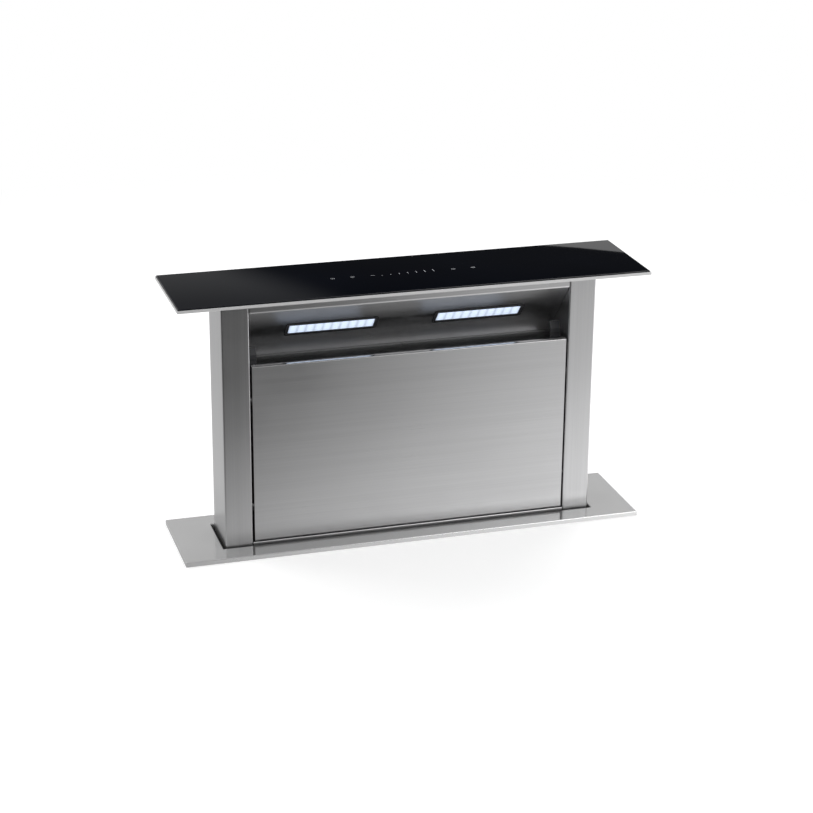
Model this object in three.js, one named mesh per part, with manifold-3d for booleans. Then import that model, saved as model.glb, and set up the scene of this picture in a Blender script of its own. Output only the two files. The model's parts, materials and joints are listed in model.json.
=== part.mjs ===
// Retractable downdraft vent for a kitchen worktop, shown fully raised.
// Millimetres, +Z up. The origin is the centre of the column slot, level with the worktop that the
// trim lies on. -Y faces the cook, +X is to the cook's right. The column slides down by TRAVEL.

import * as THREE from "three";
import { mergeVertices } from "three/addons/utils/BufferGeometryUtils.js";
import Module from "manifold-3d";

// ---------------------------------------------------------------- driving dimensions

// Clearances
const SEAT_GAP = 0.2; // between two pieces that are fixed face to face
const RUN_GAP = 0.3; // radial, between a shaft, rod or pin and what turns or slides on it
const LOWERED_GAP = 1; // tray to trim when the column is down

// Top plate: a black glass pane in a thin steel tray
const TOP_WIDTH = 600;
const TOP_DEPTH = 145;
const GLASS_THICKNESS = 4;
const TRAY_FLOOR = 1;
const TRAY_RIM = 1.2;
const GLASS_PROUD = 1.6; // glass above the tray's rim
const TOUCH_WIDTH = 206;
const TOUCH_DEPTH = 34;
const TOUCH_THICKNESS = 1.6;

// Trim frame on the worktop
const TRIM_SETBACK_X = 2; // trim's end inside the top plate's
const TRIM_DEPTH = 138;
const TRIM_THICKNESS = 6;
const TRIM_CHAMFER = 0.8;
const TRIM_REBATE = 1; // under the trim, over the chassis
const CUTOUT_MARGIN = 4; // chassis to the cut-out in the worktop
const SLOT_GAP = 4; // column to trim, all round
const SEAL_DROP = 6; // seal below the worktop level
const SEAL_RISE = 1.5; // seal above the worktop level
const SEAL_CLEARANCE = 0.8;

// Rising column
const RAISED_HEIGHT = 328; // glass top above trim top
const TOP_OVERHANG = 59; // top plate past the column at each end
const COLUMN_DEPTH = 72;
const COLUMN_OVERLAP = 130; // column left below the worktop when raised
const COLUMN_SHEET = 1.2;
const POST_WIDTH = 35;
const POST_CORNER = 2;
const BACK_RETURN = 10;

// Front panel, hung on four studs
const PANEL_TOP = 236; // above trim top
const PANEL_FOOT = 4; // above trim top
const PANEL_GAP = 3.5; // panel to post
const PANEL_SHEET = 1.2;
const PANEL_BEND = 1.6;
const LEDGE_DEPTH = 26;
const PANEL_RETURN = 14;
const STUD_RADIUS = 2.5;
const STUD_INSET = 9; // stud axis behind the panel face
const UNHOOK_TRAVEL = 12;
const HOOK_CLEARANCE = 0.3;
const STUD_LOW = 50; // above trim top
const STUD_HIGH = 190; // above trim top

// Lamp canopy above the intake
const FASCIA_HEIGHT = 18.5;
const CANOPY_BEND = 4;
const CANOPY_FALL_ANGLE = 48.5; // degrees below level
const CANOPY_CURVE = 24;
const THROAT_DEPTH = 28; // ledge edge to the canopy's foot
const CANOPY_FOOT_DROP = 10; // foot below the ledge
const CANOPY_SIDE_GAP = 0.5;
const CANOPY_BEND_STEPS = 5;

// Lamps
const LAMP_PITCH = 191;
const LAMP_LENGTH = 118;
const LAMP_HEIGHT = 27;
const LAMP_DEPTH = 9;
const LAMP_LIP = 1.2; // bezel proud of the canopy
const LAMP_EDGE = 2.4; // bezel overlap round its cut-out
const LAMP_DOWN_SLOPE = 46.5; // fascia foot to the lamp's centre, along the slope
const LENS_LENGTH = 109;
const LENS_HEIGHT = 18.5;
const LENS_THICKNESS = 2.4;
const LENS_RECESS = 0.8;

// Panel catches at the ends of the ledge
const CATCH_WIDTH = 14;
const CATCH_RISE = 14;
const CATCH_SHEET = 0.8;
const CATCH_GAP = 0.5;

// Grease filters and drip tray
const DRIP_DEPTH = 34;
const DRIP_INSET = 1.5; // tray behind the panel's returns
const DRIP_HEIGHT = 12;
const DRIP_SHEET = 1;
const FILTER_THICKNESS = 9;
const FILTER_RIM = 9;
const FILTER_SLATS = 9;
const SLAT_WIDTH = 11;
const SLAT_THICKNESS = 1.2;
const SLAT_ANGLE = 32; // degrees
const FILTER_LAP = 6; // filter above the canopy's foot
const FILTER_SIDE_GAP = 1.5;
const BOLT_RADIUS = 2;
const BOLT_THROW = 6;
const BOLT_ENGAGE = 3.4; // bolt past the filter's edge when home
const BOLT_LENGTH = 34;
const BOLT_HOUSE = 9;
const BOLT_HEIGHT = 150; // above the filter's foot
const BOLT_TAB = 5;

// Under-worktop chassis
const CHASSIS_SETBACK = 25; // chassis inside the top plate at each end
const CHASSIS_CLEARANCE = 8; // column to chassis, front and back
const CHASSIS_SHEET = 1.2;
const CHASSIS_BEND = 3;
const FLOOR_LIP = 18;
const BEAD_PLACES = [-105, 0, 105, 210];
const BEAD_WIDTH = 14;
const BEAD_CORNER = 5;
const BEAD_RISE = 2;
const BEAD_HEAD = -90;
const BEAD_FOOT = -385;
const PLENUM_MARGIN = 50; // fan inlet's rim to the floor
const CLAMP_LENGTH = 300;
const CLAMP_LEG = 24;
const CLAMP_SHEET = 2;
const WORKTOP_THICKNESS = 40;

// Lift: pinions on a cross shaft in the column's foot climb two fixed racks
const GEAR_MODULE = 1.5;
const PINION_TEETH = 20;
const PRESSURE_ANGLE = 20; // degrees
const BACKLASH = 0.3; // along the pitch line
const GEAR_WIDTH = 10;
const SHAFT_RADIUS = 5;
const SHAFT_RISE = 18; // cross shaft above the column's foot
const BUSH_WALL = 2.7;
const BUSH_FLANGE = 2.8;
const BUSH_FLANGE_RIM = 3;
const RACK_BACK = 10; // rack body behind its tooth roots
const RAIL_TOP = -12;
const RAIL_END = 5; // rail past the lowered column's foot
const RAIL_SHEET = 3;
const CHANNEL_DEPTH = 10;
const CHANNEL_LIP = 2.5;
const SHOE_WIDTH = 17;
const SHOE_HEIGHT = 30;
const SHOE_OFFSET = -19.75; // shoe centre from the column's middle plane
const UPPER_SHOE_DROP = 46; // shoe's foot below the worktop
const LOWER_SHOE_DROP = 92;
const GEARBOX_WIDTH = 44;
const GEARBOX_HEIGHT = 38;
const GEARBOX_MARGIN = 28; // post to the gearbox's hub
const GEARBOX_HUB = 6; // hub past the housing
const GEARBOX_HUB_WALL = 7;
const LIFT_MOTOR_RADIUS = 18;
const LIFT_MOTOR_LENGTH = 88;

// Blower
const INLET_RADIUS = 60;
const INLET_WALL = 1.2;
const INLET_FLANGE = 12;
const INLET_LENGTH = 11;
const INLET_TAPER = 1;
const INLET_LIP_RADIUS = 2;
const INLET_DROP = 18; // inlet rim below the lowered column
const WHEEL_RADIUS = 90;
const WHEEL_WIDTH = 66;
const WHEEL_DISC = 2;
const WHEEL_GAP = 3;
const BLADE_COUNT = 30;
const BLADE_CHORD = 20;
const BLADE_THICKNESS = 1.2;
const HUB_RADIUS = 14;
const FAN_SHAFT_RADIUS = 4;
const SCROLL_WALL = 1.5;
const SCROLL_SEAM = 2.5; // rolled seam round the front plate
const SCROLL_FLANGE = 7; // mounting flange round the back
const SCROLL_START = 8; // scroll wall to wheel at the tongue
const SCROLL_GROWTH = 52; // how much further out the scroll ends
const TONGUE_ANGLE = -38; // degrees from +X
const SCROLL_REACH = 150; // outlet face from the fan axis
const MOTOR_RADIUS = 46;
const MOTOR_LENGTH = 52;
const MOTOR_FLANGE = 6; // proud of the can
const MOTOR_DOME = 12; // length of the tapered end
const MOTOR_RIBS = 16;
const RIB_WIDTH = 3;
const RIB_RISE = 3;
const ADAPTER_LENGTH = 62;
const DUCT_RADIUS = 75;
const DUCT_WALL = 2;
const SPIGOT_LENGTH = 56;
const SPIGOT_BEAD = 1.6;
const SPIGOT_FLANGE = 6;
const FLAP_THICKNESS = 1.6;
const FLAP_GAP = 1.2;
const FLAP_PIN_RADIUS = 1.5;
const KNUCKLE_WALL = 1.2;
const KNUCKLE_LENGTH = 12;
const FLAP_SETBACK = 10; // flap plane from the spigot's root

// Electronics and feet
const BOX_WIDTH = 96;
const BOX_HEIGHT = 150;
const BOX_DEPTH = 44;
const BOX_WALL = 2;
const BOX_TOP = -80;
const BOX_MARGIN = 15; // box to the chassis's edge
const GLAND_RADIUS = 9;
const FOOT_LENGTH = 70;
const FOOT_WIDTH = 40;
const FOOT_SHEET = 2;
const FOOT_SLOT = 6;
const FOOT_SLOT_MARGIN = 15; // slot's ends to the chassis's floor and the foot's top
const FOOT_CLEARANCE = 12; // outlet to cabinet floor

// ---------------------------------------------------------------- derived places

const TRIM_TOP = TRIM_THICKNESS;
const TRAY_DEPTH = TRAY_FLOOR + SEAT_GAP + GLASS_THICKNESS; // tray's underside to the glass top
const GLASS_TOP = TRIM_TOP + RAISED_HEIGHT;
const TRAY_BOTTOM = GLASS_TOP - TRAY_DEPTH;
const COLUMN_TOP = TRAY_BOTTOM - SEAT_GAP;
const COLUMN_BOTTOM = -COLUMN_OVERLAP;
const TRAVEL = TRAY_BOTTOM - TRIM_TOP - LOWERED_GAP;
const LOWEST = COLUMN_BOTTOM - TRAVEL;
const TRIM_HALF = TOP_WIDTH / 2 - TRIM_SETBACK_X;
const COLUMN_HALF = TOP_WIDTH / 2 - TOP_OVERHANG;
const FRONT = -COLUMN_DEPTH / 2;
const BACK = COLUMN_DEPTH / 2;
const POST_INNER = COLUMN_HALF - POST_WIDTH;
const PANEL_HALF = POST_INNER - PANEL_GAP;
const LEDGE_Z = TRIM_TOP + PANEL_TOP;
const LEDGE_EDGE = FRONT + LEDGE_DEPTH;
const CANOPY_FOOT_Y = LEDGE_EDGE + THROAT_DEPTH;
const FASCIA_FOOT = COLUMN_TOP - FASCIA_HEIGHT;
const CHASSIS_HALF = TOP_WIDTH / 2 - CHASSIS_SETBACK;
const CHASSIS_INNER = COLUMN_DEPTH / 2 + CHASSIS_CLEARANCE;
const CHASSIS_OUTER = CHASSIS_INNER + CHASSIS_SHEET;
const CHASSIS_TOP = TRIM_REBATE - SEAT_GAP;
const SHAFT_Z = COLUMN_BOTTOM + SHAFT_RISE;
const PITCH_RADIUS = (GEAR_MODULE * PINION_TEETH) / 2;
const GEARBOX_X = POST_INNER - GEARBOX_MARGIN - GEARBOX_HUB - GEARBOX_WIDTH / 2;
const PINION_INNER = COLUMN_HALF + SEAT_GAP + BUSH_FLANGE + RUN_GAP;
const RAIL_FACE = CHASSIS_HALF - CHASSIS_SHEET - SEAT_GAP;
const RAIL_BOTTOM = LOWEST - RAIL_END;
const FAN_Z = LOWEST - INLET_DROP - INLET_RADIUS;
const CHASSIS_BOTTOM = FAN_Z - INLET_RADIUS - PLENUM_MARGIN;
const SCROLL_BACK = -CHASSIS_OUTER - SEAT_GAP;
const WHEEL_BACK = -CHASSIS_INNER - INLET_LENGTH - WHEEL_GAP;
const WHEEL_FRONT = WHEEL_BACK - WHEEL_WIDTH;
const SCROLL_FRONT = WHEEL_FRONT - WHEEL_GAP;
const SCROLL_OUTER = WHEEL_RADIUS + SCROLL_START + SCROLL_GROWTH;
const DUCT_Y = SCROLL_BACK - DUCT_RADIUS - DUCT_WALL - SPIGOT_FLANGE;
const SPIGOT_ROOT = SCROLL_REACH + ADAPTER_LENGTH;
const DUCT_Z = FAN_Z - SCROLL_OUTER + DUCT_RADIUS;
const FOOT_Z = DUCT_Z - DUCT_RADIUS - FOOT_CLEARANCE;
const BOX_X = BOX_MARGIN + BOX_WIDTH / 2 - CHASSIS_HALF;

// ---------------------------------------------------------------- materials

const finish = (color, roughness, metalness) =>
  new THREE.MeshStandardMaterial({ color, roughness, metalness });
const STAINLESS = finish("#b9bbbd", 0.32, 1);
const GALVANISED = finish("#9aa0a3", 0.5, 1);
const BLACK_GLASS = finish("#07080b", 0.04, 0);
const BLACK_PLASTIC = finish("#16181a", 0.5, 0);
const GREY_PLASTIC = finish("#6d7275", 0.6, 0);
const LAMP_GLASS = finish("#dfeaff", 0.3, 0);
const RUBBER = finish("#101112", 0.85, 0);
const ALUMINIUM = finish("#c6c9cc", 0.45, 1);
const BRIGHT_STEEL = finish("#c9cbcd", 0.18, 1);
const BRONZE = finish("#a07c46", 0.4, 1);
const BOARD_GREEN = finish("#1f5a3a", 0.5, 0);
LAMP_GLASS.emissive = new THREE.Color("#cfe0ff");

// ---------------------------------------------------------------- shapes and solids

const AXIS = {
  x: new THREE.Vector3(1, 0, 0),
  y: new THREE.Vector3(0, 1, 0),
  z: new THREE.Vector3(0, 0, 1),
};
const radians = THREE.MathUtils.degToRad;
const at = (x, y) => new THREE.Vector2(x, y);

function rectangle(x0, y0, x1, y1) {
  return [at(x0, y0), at(x1, y0), at(x1, y1), at(x0, y1)];
}

function arc(cx, cy, radius, from, to, steps) {
  const points = [];
  for (let i = 0; i <= steps; i++) {
    const angle = from + ((to - from) * i) / steps;
    points.push(at(cx + radius * Math.cos(angle), cy + radius * Math.sin(angle)));
  }
  return points;
}

function circle(cx, cy, radius, sides = 24) {
  return arc(cx, cy, radius, 0, 2 * Math.PI, sides).slice(0, -1);
}

// A path with its corners rounded, to one radius or to one for each corner.
function rounded(path, radii, steps = 3, closed = false) {
  const points = [];
  path.forEach((corner, i) => {
    const last = path.length - 1;
    if (!closed && (i === 0 || i === last)) {
      points.push(corner);
      return;
    }
    const radius = Array.isArray(radii) ? radii[i] : radii;
    const before = path[i === 0 ? last : i - 1];
    const after = path[i === last ? 0 : i + 1];
    const toBefore = before.clone().sub(corner).normalize();
    const toAfter = after.clone().sub(corner).normalize();
    const half = Math.acos(THREE.MathUtils.clamp(toBefore.dot(toAfter), -1, 1)) / 2;
    const reach = radius / Math.tan(half);
    const centre = toBefore.clone().add(toAfter).normalize();
    centre.multiplyScalar(radius / Math.sin(half)).add(corner);
    const start = corner.clone().addScaledVector(toBefore, reach).sub(centre);
    const end = corner.clone().addScaledVector(toAfter, reach).sub(centre);
    const from = start.angle();
    let turn = end.angle() - from;
    if (turn > Math.PI) turn -= 2 * Math.PI;
    if (turn < -Math.PI) turn += 2 * Math.PI;
    points.push(...arc(centre.x, centre.y, radius, from, from + turn, steps));
  });
  return points;
}

// Sheet metal bent along a path: the path is one face, and the sheet lies to its left.
function bentSheet(path, thickness) {
  const normals = path.slice(1).map((point, i) => {
    const along = point.clone().sub(path[i]).normalize();
    return at(-along.y, along.x);
  });
  const inner = path.map((point, i) => {
    const before = normals[Math.max(i - 1, 0)];
    const after = normals[Math.min(i, normals.length - 1)];
    const mitre = before.clone().add(after).divideScalar(1 + before.dot(after));
    return point.clone().addScaledVector(mitre, thickness);
  });
  return [...path, ...inner.reverse()];
}

function drawn(outline, holes = []) {
  const shape = new THREE.Shape(outline);
  shape.holes = holes.map((hole) => new THREE.Path(hole));
  return shape;
}

function extruded(outline, length, holes) {
  return new THREE.ExtrudeGeometry(drawn(outline, holes), { depth: length, bevelEnabled: false });
}

// Drawn in (y, z) and run along X.
function alongX(outline, from, to, holes) {
  const turned = new THREE.Matrix4().makeBasis(AXIS.y, AXIS.z, AXIS.x);
  return extruded(outline, to - from, holes).applyMatrix4(turned).translate(from, 0, 0);
}

// Drawn in (x, z) and run along Y.
function alongY(outline, from, to, holes) {
  const turned = new THREE.Matrix4().makeBasis(AXIS.x, AXIS.z, AXIS.y.clone().negate());
  return extruded(outline, to - from, holes).applyMatrix4(turned).translate(0, to, 0);
}

// Drawn in (x, y) and run along Z.
function alongZ(outline, from, to, holes) {
  return extruded(outline, to - from, holes).translate(0, 0, from);
}

function block(x0, y0, z0, x1, y1, z1) {
  const geometry = new THREE.BoxGeometry(x1 - x0, y1 - y0, z1 - z0);
  return geometry.translate((x0 + x1) / 2, (y0 + y1) / 2, (z0 + z1) / 2);
}

// A profile of (radius, distance) points turned about an axis through a place.
function turned(profile, axis, [x, y, z] = [0, 0, 0], sides = 32) {
  const geometry = new THREE.LatheGeometry(profile, sides);
  const turn = new THREE.Quaternion().setFromUnitVectors(AXIS.y, AXIS[axis]);
  return geometry.applyQuaternion(turn).translate(x, y, z);
}

function cylinder(radius, from, to, axis, place, sides = 24) {
  return turned([at(0, from), at(radius, from), at(radius, to), at(0, to)], axis, place, sides);
}

function tube(inner, outer, from, to, axis, place, sides = 24) {
  const profile = [at(inner, from), at(outer, from), at(outer, to), at(inner, to), at(inner, from)];
  return turned(profile, axis, place, sides);
}

const wasm = await Module();
wasm.setup();

function solidOf(geometry) {
  const bare = geometry.clone();
  bare.deleteAttribute("normal");
  bare.deleteAttribute("uv");
  const merged = mergeVertices(bare, 1e-4);
  return new wasm.Manifold(
    new wasm.Mesh({
      numProp: 3,
      vertProperties: merged.attributes.position.array,
      triVerts: new Uint32Array(merged.index.array),
    }),
  );
}

function geometryOf(solid) {
  const mesh = solid.getMesh();
  const geometry = new THREE.BufferGeometry();
  geometry.setAttribute("position", new THREE.BufferAttribute(mesh.vertProperties, 3));
  geometry.setIndex(new THREE.BufferAttribute(mesh.triVerts, 1));
  geometry.computeVertexNormals();
  return geometry;
}

function cut(body, ...tools) {
  return geometryOf(tools.reduce((left, tool) => left.subtract(solidOf(tool)), solidOf(body)));
}

function join(...bodies) {
  return geometryOf(bodies.map(solidOf).reduce((all, one) => all.add(one)));
}

function add(group, name, geometry, material) {
  const mesh = new THREE.Mesh(geometry, material);
  mesh.name = name;
  group.add(mesh);
  return mesh;
}

// The right-hand piece, and its mirror image on the left.
function addPair(group, name, geometry, material) {
  add(group, `${name}_right`, geometry, material);
  add(group, `${name}_left`, geometry, material).scale.x = -1;
}

// ---------------------------------------------------------------- top plate

function topTray() {
  const rim = TRAY_DEPTH - GLASS_PROUD;
  const outer = block(-TOP_WIDTH / 2, -TOP_DEPTH / 2, 0, TOP_WIDTH / 2, TOP_DEPTH / 2, rim);
  const inX = TOP_WIDTH / 2 - TRAY_RIM;
  const inY = TOP_DEPTH / 2 - TRAY_RIM;
  const recess = block(-inX, -inY, TRAY_FLOOR, inX, inY, rim + 1);
  const windowX = TOUCH_WIDTH / 2 + SEAT_GAP;
  const windowY = TOUCH_DEPTH / 2 + SEAT_GAP;
  const window = block(-windowX, -windowY, -1, windowX, windowY, TRAY_FLOOR + 1);
  return cut(outer, recess, window).translate(0, 0, TRAY_BOTTOM);
}

function glassPane() {
  const halfX = TOP_WIDTH / 2 - TRAY_RIM - SEAT_GAP;
  const halfY = TOP_DEPTH / 2 - TRAY_RIM - SEAT_GAP;
  return block(-halfX, -halfY, GLASS_TOP - GLASS_THICKNESS, halfX, halfY, GLASS_TOP);
}

function touchBoard() {
  const top = GLASS_TOP - GLASS_THICKNESS - SEAT_GAP;
  const x = TOUCH_WIDTH / 2;
  const y = TOUCH_DEPTH / 2;
  return block(-x, -y, top - TOUCH_THICKNESS, x, y, top);
}

// ---------------------------------------------------------------- column

// A folded rectangular tube with two studs that carry the front panel.
function post() {
  const outline = rectangle(POST_INNER, FRONT, COLUMN_HALF, BACK);
  const hollow = rectangle(
    POST_INNER + COLUMN_SHEET,
    FRONT + COLUMN_SHEET,
    COLUMN_HALF - COLUMN_SHEET,
    BACK - COLUMN_SHEET,
  );
  const skin = alongZ(rounded(outline, POST_CORNER, 3, true), COLUMN_BOTTOM, COLUMN_TOP, [
    rounded(hollow, POST_CORNER - COLUMN_SHEET, 2, true),
  ]);
  const studs = [STUD_LOW, STUD_HIGH].map((height) =>
    cylinder(
      STUD_RADIUS,
      PANEL_HALF - PANEL_SHEET - SEAT_GAP - POST_INNER,
      COLUMN_SHEET / 2,
      "x",
      [POST_INNER, FRONT + STUD_INSET, TRIM_TOP + height],
      16,
    ),
  );
  const bolt = filterPlace(BOLT_HEIGHT, BOLT_OUT);
  const keeper = cylinder(BOLT_RADIUS + RUN_GAP, -3, 3, "x", [POST_INNER, bolt.y, bolt.z], 16);
  const sleeve = SHAFT_RADIUS + RUN_GAP + BUSH_WALL + SEAT_GAP;
  const bushHole = cylinder(sleeve, POST_INNER - 1, COLUMN_HALF + 1, "x", [0, 0, SHAFT_Z]);
  return cut(join(skin, ...studs), keeper, bushHole);
}

function columnBack() {
  const halfX = POST_INNER - SEAT_GAP;
  const path = [
    at(halfX, BACK - BACK_RETURN),
    at(halfX, BACK),
    at(-halfX, BACK),
    at(-halfX, BACK - BACK_RETURN),
  ];
  return alongZ(bentSheet(rounded(path, PANEL_BEND), COLUMN_SHEET), COLUMN_BOTTOM, COLUMN_TOP);
}

// Closes the column's front below the panel, with a shelf that the drip tray stands on.
function columnLowerFront() {
  const top = TRIM_TOP + PANEL_FOOT - SEAT_GAP - 1;
  const halfX = POST_INNER - SEAT_GAP;
  const path = [
    at(FRONT + DRIP_DEPTH, top),
    at(FRONT, top),
    at(FRONT, COLUMN_BOTTOM),
    at(FRONT + BACK_RETURN, COLUMN_BOTTOM),
  ];
  return alongX(bentSheet(rounded(path, PANEL_BEND), COLUMN_SHEET), -halfX, halfX);
}

// ---------------------------------------------------------------- front panel

// The slot in a side return: the stud sits at its top, and leaves to the rear at its foot.
function hookSlot(height) {
  const half = STUD_RADIUS + HOOK_CLEARANCE;
  const y = FRONT + STUD_INSET;
  const z = TRIM_TOP + height;
  const rear = FRONT + PANEL_RETURN + 1;
  return [
    ...arc(y, z, half, Math.PI, 0, 6),
    at(y + half, z - UNHOOK_TRAVEL + half),
    at(rear, z - UNHOOK_TRAVEL + half),
    at(rear, z - UNHOOK_TRAVEL - half),
    at(y - half, z - UNHOOK_TRAVEL - half),
  ];
}

function frontPanel() {
  const foot = TRIM_TOP + PANEL_FOOT;
  const path = rounded(
    [at(FRONT, LEDGE_Z), at(FRONT, foot), at(FRONT + PANEL_RETURN, foot)],
    PANEL_BEND,
  );
  const face = alongX(bentSheet(path, PANEL_SHEET), -PANEL_HALF, PANEL_HALF);
  const inset = PANEL_SHEET / 2;
  const head = LEDGE_Z - PANEL_SHEET - SEAT_GAP;
  const side = rectangle(FRONT + inset, foot + inset, FRONT + PANEL_RETURN, head);
  const returns = [PANEL_HALF - PANEL_SHEET, -PANEL_HALF].map((x) =>
    alongX(side, x, x + PANEL_SHEET),
  );
  const slots = [STUD_LOW, STUD_HIGH].map((height) =>
    alongX(hookSlot(height), -PANEL_HALF - 1, PANEL_HALF + 1),
  );
  return cut(join(face, ...returns), ...slots);
}

// The strip welded behind the panel's top edge, on its side returns. The air passes behind it.
function panelLedge() {
  return block(
    -PANEL_HALF,
    FRONT + PANEL_SHEET + SEAT_GAP,
    LEDGE_Z - PANEL_SHEET,
    PANEL_HALF,
    LEDGE_EDGE,
    LEDGE_Z,
  );
}

// ---------------------------------------------------------------- lamp canopy

const FALL = at(
  Math.cos(radians(CANOPY_FALL_ANGLE)),
  -Math.sin(radians(CANOPY_FALL_ANGLE)),
); // down the slope, in (y, z)
const CANOPY_FOOT_Z = LEDGE_Z - CANOPY_FOOT_DROP;

// Where the slope would meet the canopy's upright foot.
const KNEE = at(CANOPY_FOOT_Y, FASCIA_FOOT + ((CANOPY_FOOT_Y - FRONT) * FALL.y) / FALL.x);

function lampPlace() {
  return at(FRONT, FASCIA_FOOT).addScaledVector(FALL, LAMP_DOWN_SLOPE);
}

// Turns geometry made flat on the slope (x across, y up the slope, z out of it) into place.
function onSlope(geometry, x) {
  const place = lampPlace();
  const basis = new THREE.Matrix4().makeBasis(
    AXIS.x,
    new THREE.Vector3(0, -FALL.x, -FALL.y),
    new THREE.Vector3(0, FALL.y, -FALL.x),
  );
  return geometry.applyMatrix4(basis).translate(x, place.x, place.y);
}

function canopy() {
  const halfX = POST_INNER - CANOPY_SIDE_GAP;
  const path = rounded(
    [at(FRONT, COLUMN_TOP), at(FRONT, FASCIA_FOOT), KNEE, at(CANOPY_FOOT_Y, CANOPY_FOOT_Z)],
    [0, CANOPY_BEND, CANOPY_CURVE, 0],
    CANOPY_BEND_STEPS,
  );
  const sheet = alongX(bentSheet(path, COLUMN_SHEET), -halfX, halfX);
  const holeX = LAMP_LENGTH / 2 - LAMP_EDGE + SEAT_GAP;
  const holeY = LAMP_HEIGHT / 2 - LAMP_EDGE + SEAT_GAP;
  const holes = [-LAMP_PITCH / 2, LAMP_PITCH / 2].map((x) =>
    onSlope(block(-holeX, -holeY, -LAMP_DEPTH, holeX, holeY, LAMP_DEPTH), x),
  );
  return cut(sheet, ...holes);
}

function lampBezel() {
  const x = LAMP_LENGTH / 2;
  const y = LAMP_HEIGHT / 2;
  const rim = alongZ(
    rounded(rectangle(-x, -y, x, y), 3, 3, true),
    SEAT_GAP,
    LAMP_LIP,
  );
  const body = block(
    -x + LAMP_EDGE,
    -y + LAMP_EDGE,
    LAMP_LIP - LAMP_DEPTH,
    x - LAMP_EDGE,
    y - LAMP_EDGE,
    (SEAT_GAP + LAMP_LIP) / 2,
  );
  const pocketX = LENS_LENGTH / 2 + SEAT_GAP;
  const pocketY = LENS_HEIGHT / 2 + SEAT_GAP;
  const floor = LAMP_LIP - LENS_RECESS - LENS_THICKNESS - SEAT_GAP;
  const pocket = block(-pocketX, -pocketY, floor, pocketX, pocketY, LAMP_LIP + 1);
  return onSlope(cut(join(rim, body), pocket), LAMP_PITCH / 2);
}

function lampLens() {
  const x = LENS_LENGTH / 2;
  const y = LENS_HEIGHT / 2;
  const top = LAMP_LIP - LENS_RECESS;
  return onSlope(block(-x, -y, top - LENS_THICKNESS, x, y, top), LAMP_PITCH / 2);
}

// A spring strip that bears on the ledge's rear edge, fixed to the post.
function panelCatch() {
  const y = LEDGE_EDGE + CATCH_GAP;
  const path = rounded(
    [
      at(y + 7, LEDGE_Z - 4),
      at(y, LEDGE_Z - 6),
      at(y, LEDGE_Z + 5),
      at(y + 6, LEDGE_Z + CATCH_RISE),
    ].reverse(),
    3,
  );
  const x = POST_INNER - SEAT_GAP;
  return alongX(bentSheet(path, CATCH_SHEET), x - CATCH_WIDTH, x);
}

// ---------------------------------------------------------------- filters

const DRIP_FLOOR = TRIM_TOP + PANEL_FOOT - 1;
const DRIP_FRONT = FRONT + PANEL_RETURN + DRIP_INSET;
const DRIP_REAR = FRONT + DRIP_DEPTH;
const FILTER_FOOT = at(
  (DRIP_FRONT + DRIP_REAR) / 2,
  DRIP_FLOOR + DRIP_SHEET + SEAT_GAP + FILTER_THICKNESS / 4,
);
const FILTER_HEAD = at(
  CANOPY_FOOT_Y - FILTER_THICKNESS / 2 - 2 * SEAT_GAP,
  CANOPY_FOOT_Z + FILTER_LAP,
);
const FILTER_HEIGHT = FILTER_FOOT.distanceTo(FILTER_HEAD);
const FILTER_LEAN = Math.atan2(FILTER_HEAD.x - FILTER_FOOT.x, FILTER_HEAD.y - FILTER_FOOT.y);
const FILTER_OUTER = POST_INNER - FILTER_SIDE_GAP;

// Turns geometry made upright (z up the filter, y through it) to lean back on its foot.
function leaning(geometry) {
  return geometry.rotateX(-FILTER_LEAN).translate(0, FILTER_FOOT.x, FILTER_FOOT.y);
}

// A point up the filter and out from its middle plane.
function filterPlace(up, out) {
  return new THREE.Vector3(0, out, up)
    .applyAxisAngle(AXIS.x, -FILTER_LEAN)
    .add(new THREE.Vector3(0, FILTER_FOOT.x, FILTER_FOOT.y));
}

function dripTray() {
  const halfX = POST_INNER - FILTER_SIDE_GAP;
  const path = [
    at(DRIP_FRONT, DRIP_FLOOR + DRIP_HEIGHT),
    at(DRIP_FRONT, DRIP_FLOOR),
    at(DRIP_REAR, DRIP_FLOOR),
    at(DRIP_REAR, DRIP_FLOOR + DRIP_HEIGHT),
  ];
  return alongX(bentSheet(path, DRIP_SHEET), -halfX, halfX);
}

const BOLT_OUT = -FILTER_THICKNESS / 2 - BOLT_HOUSE / 2 + 1;

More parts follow.
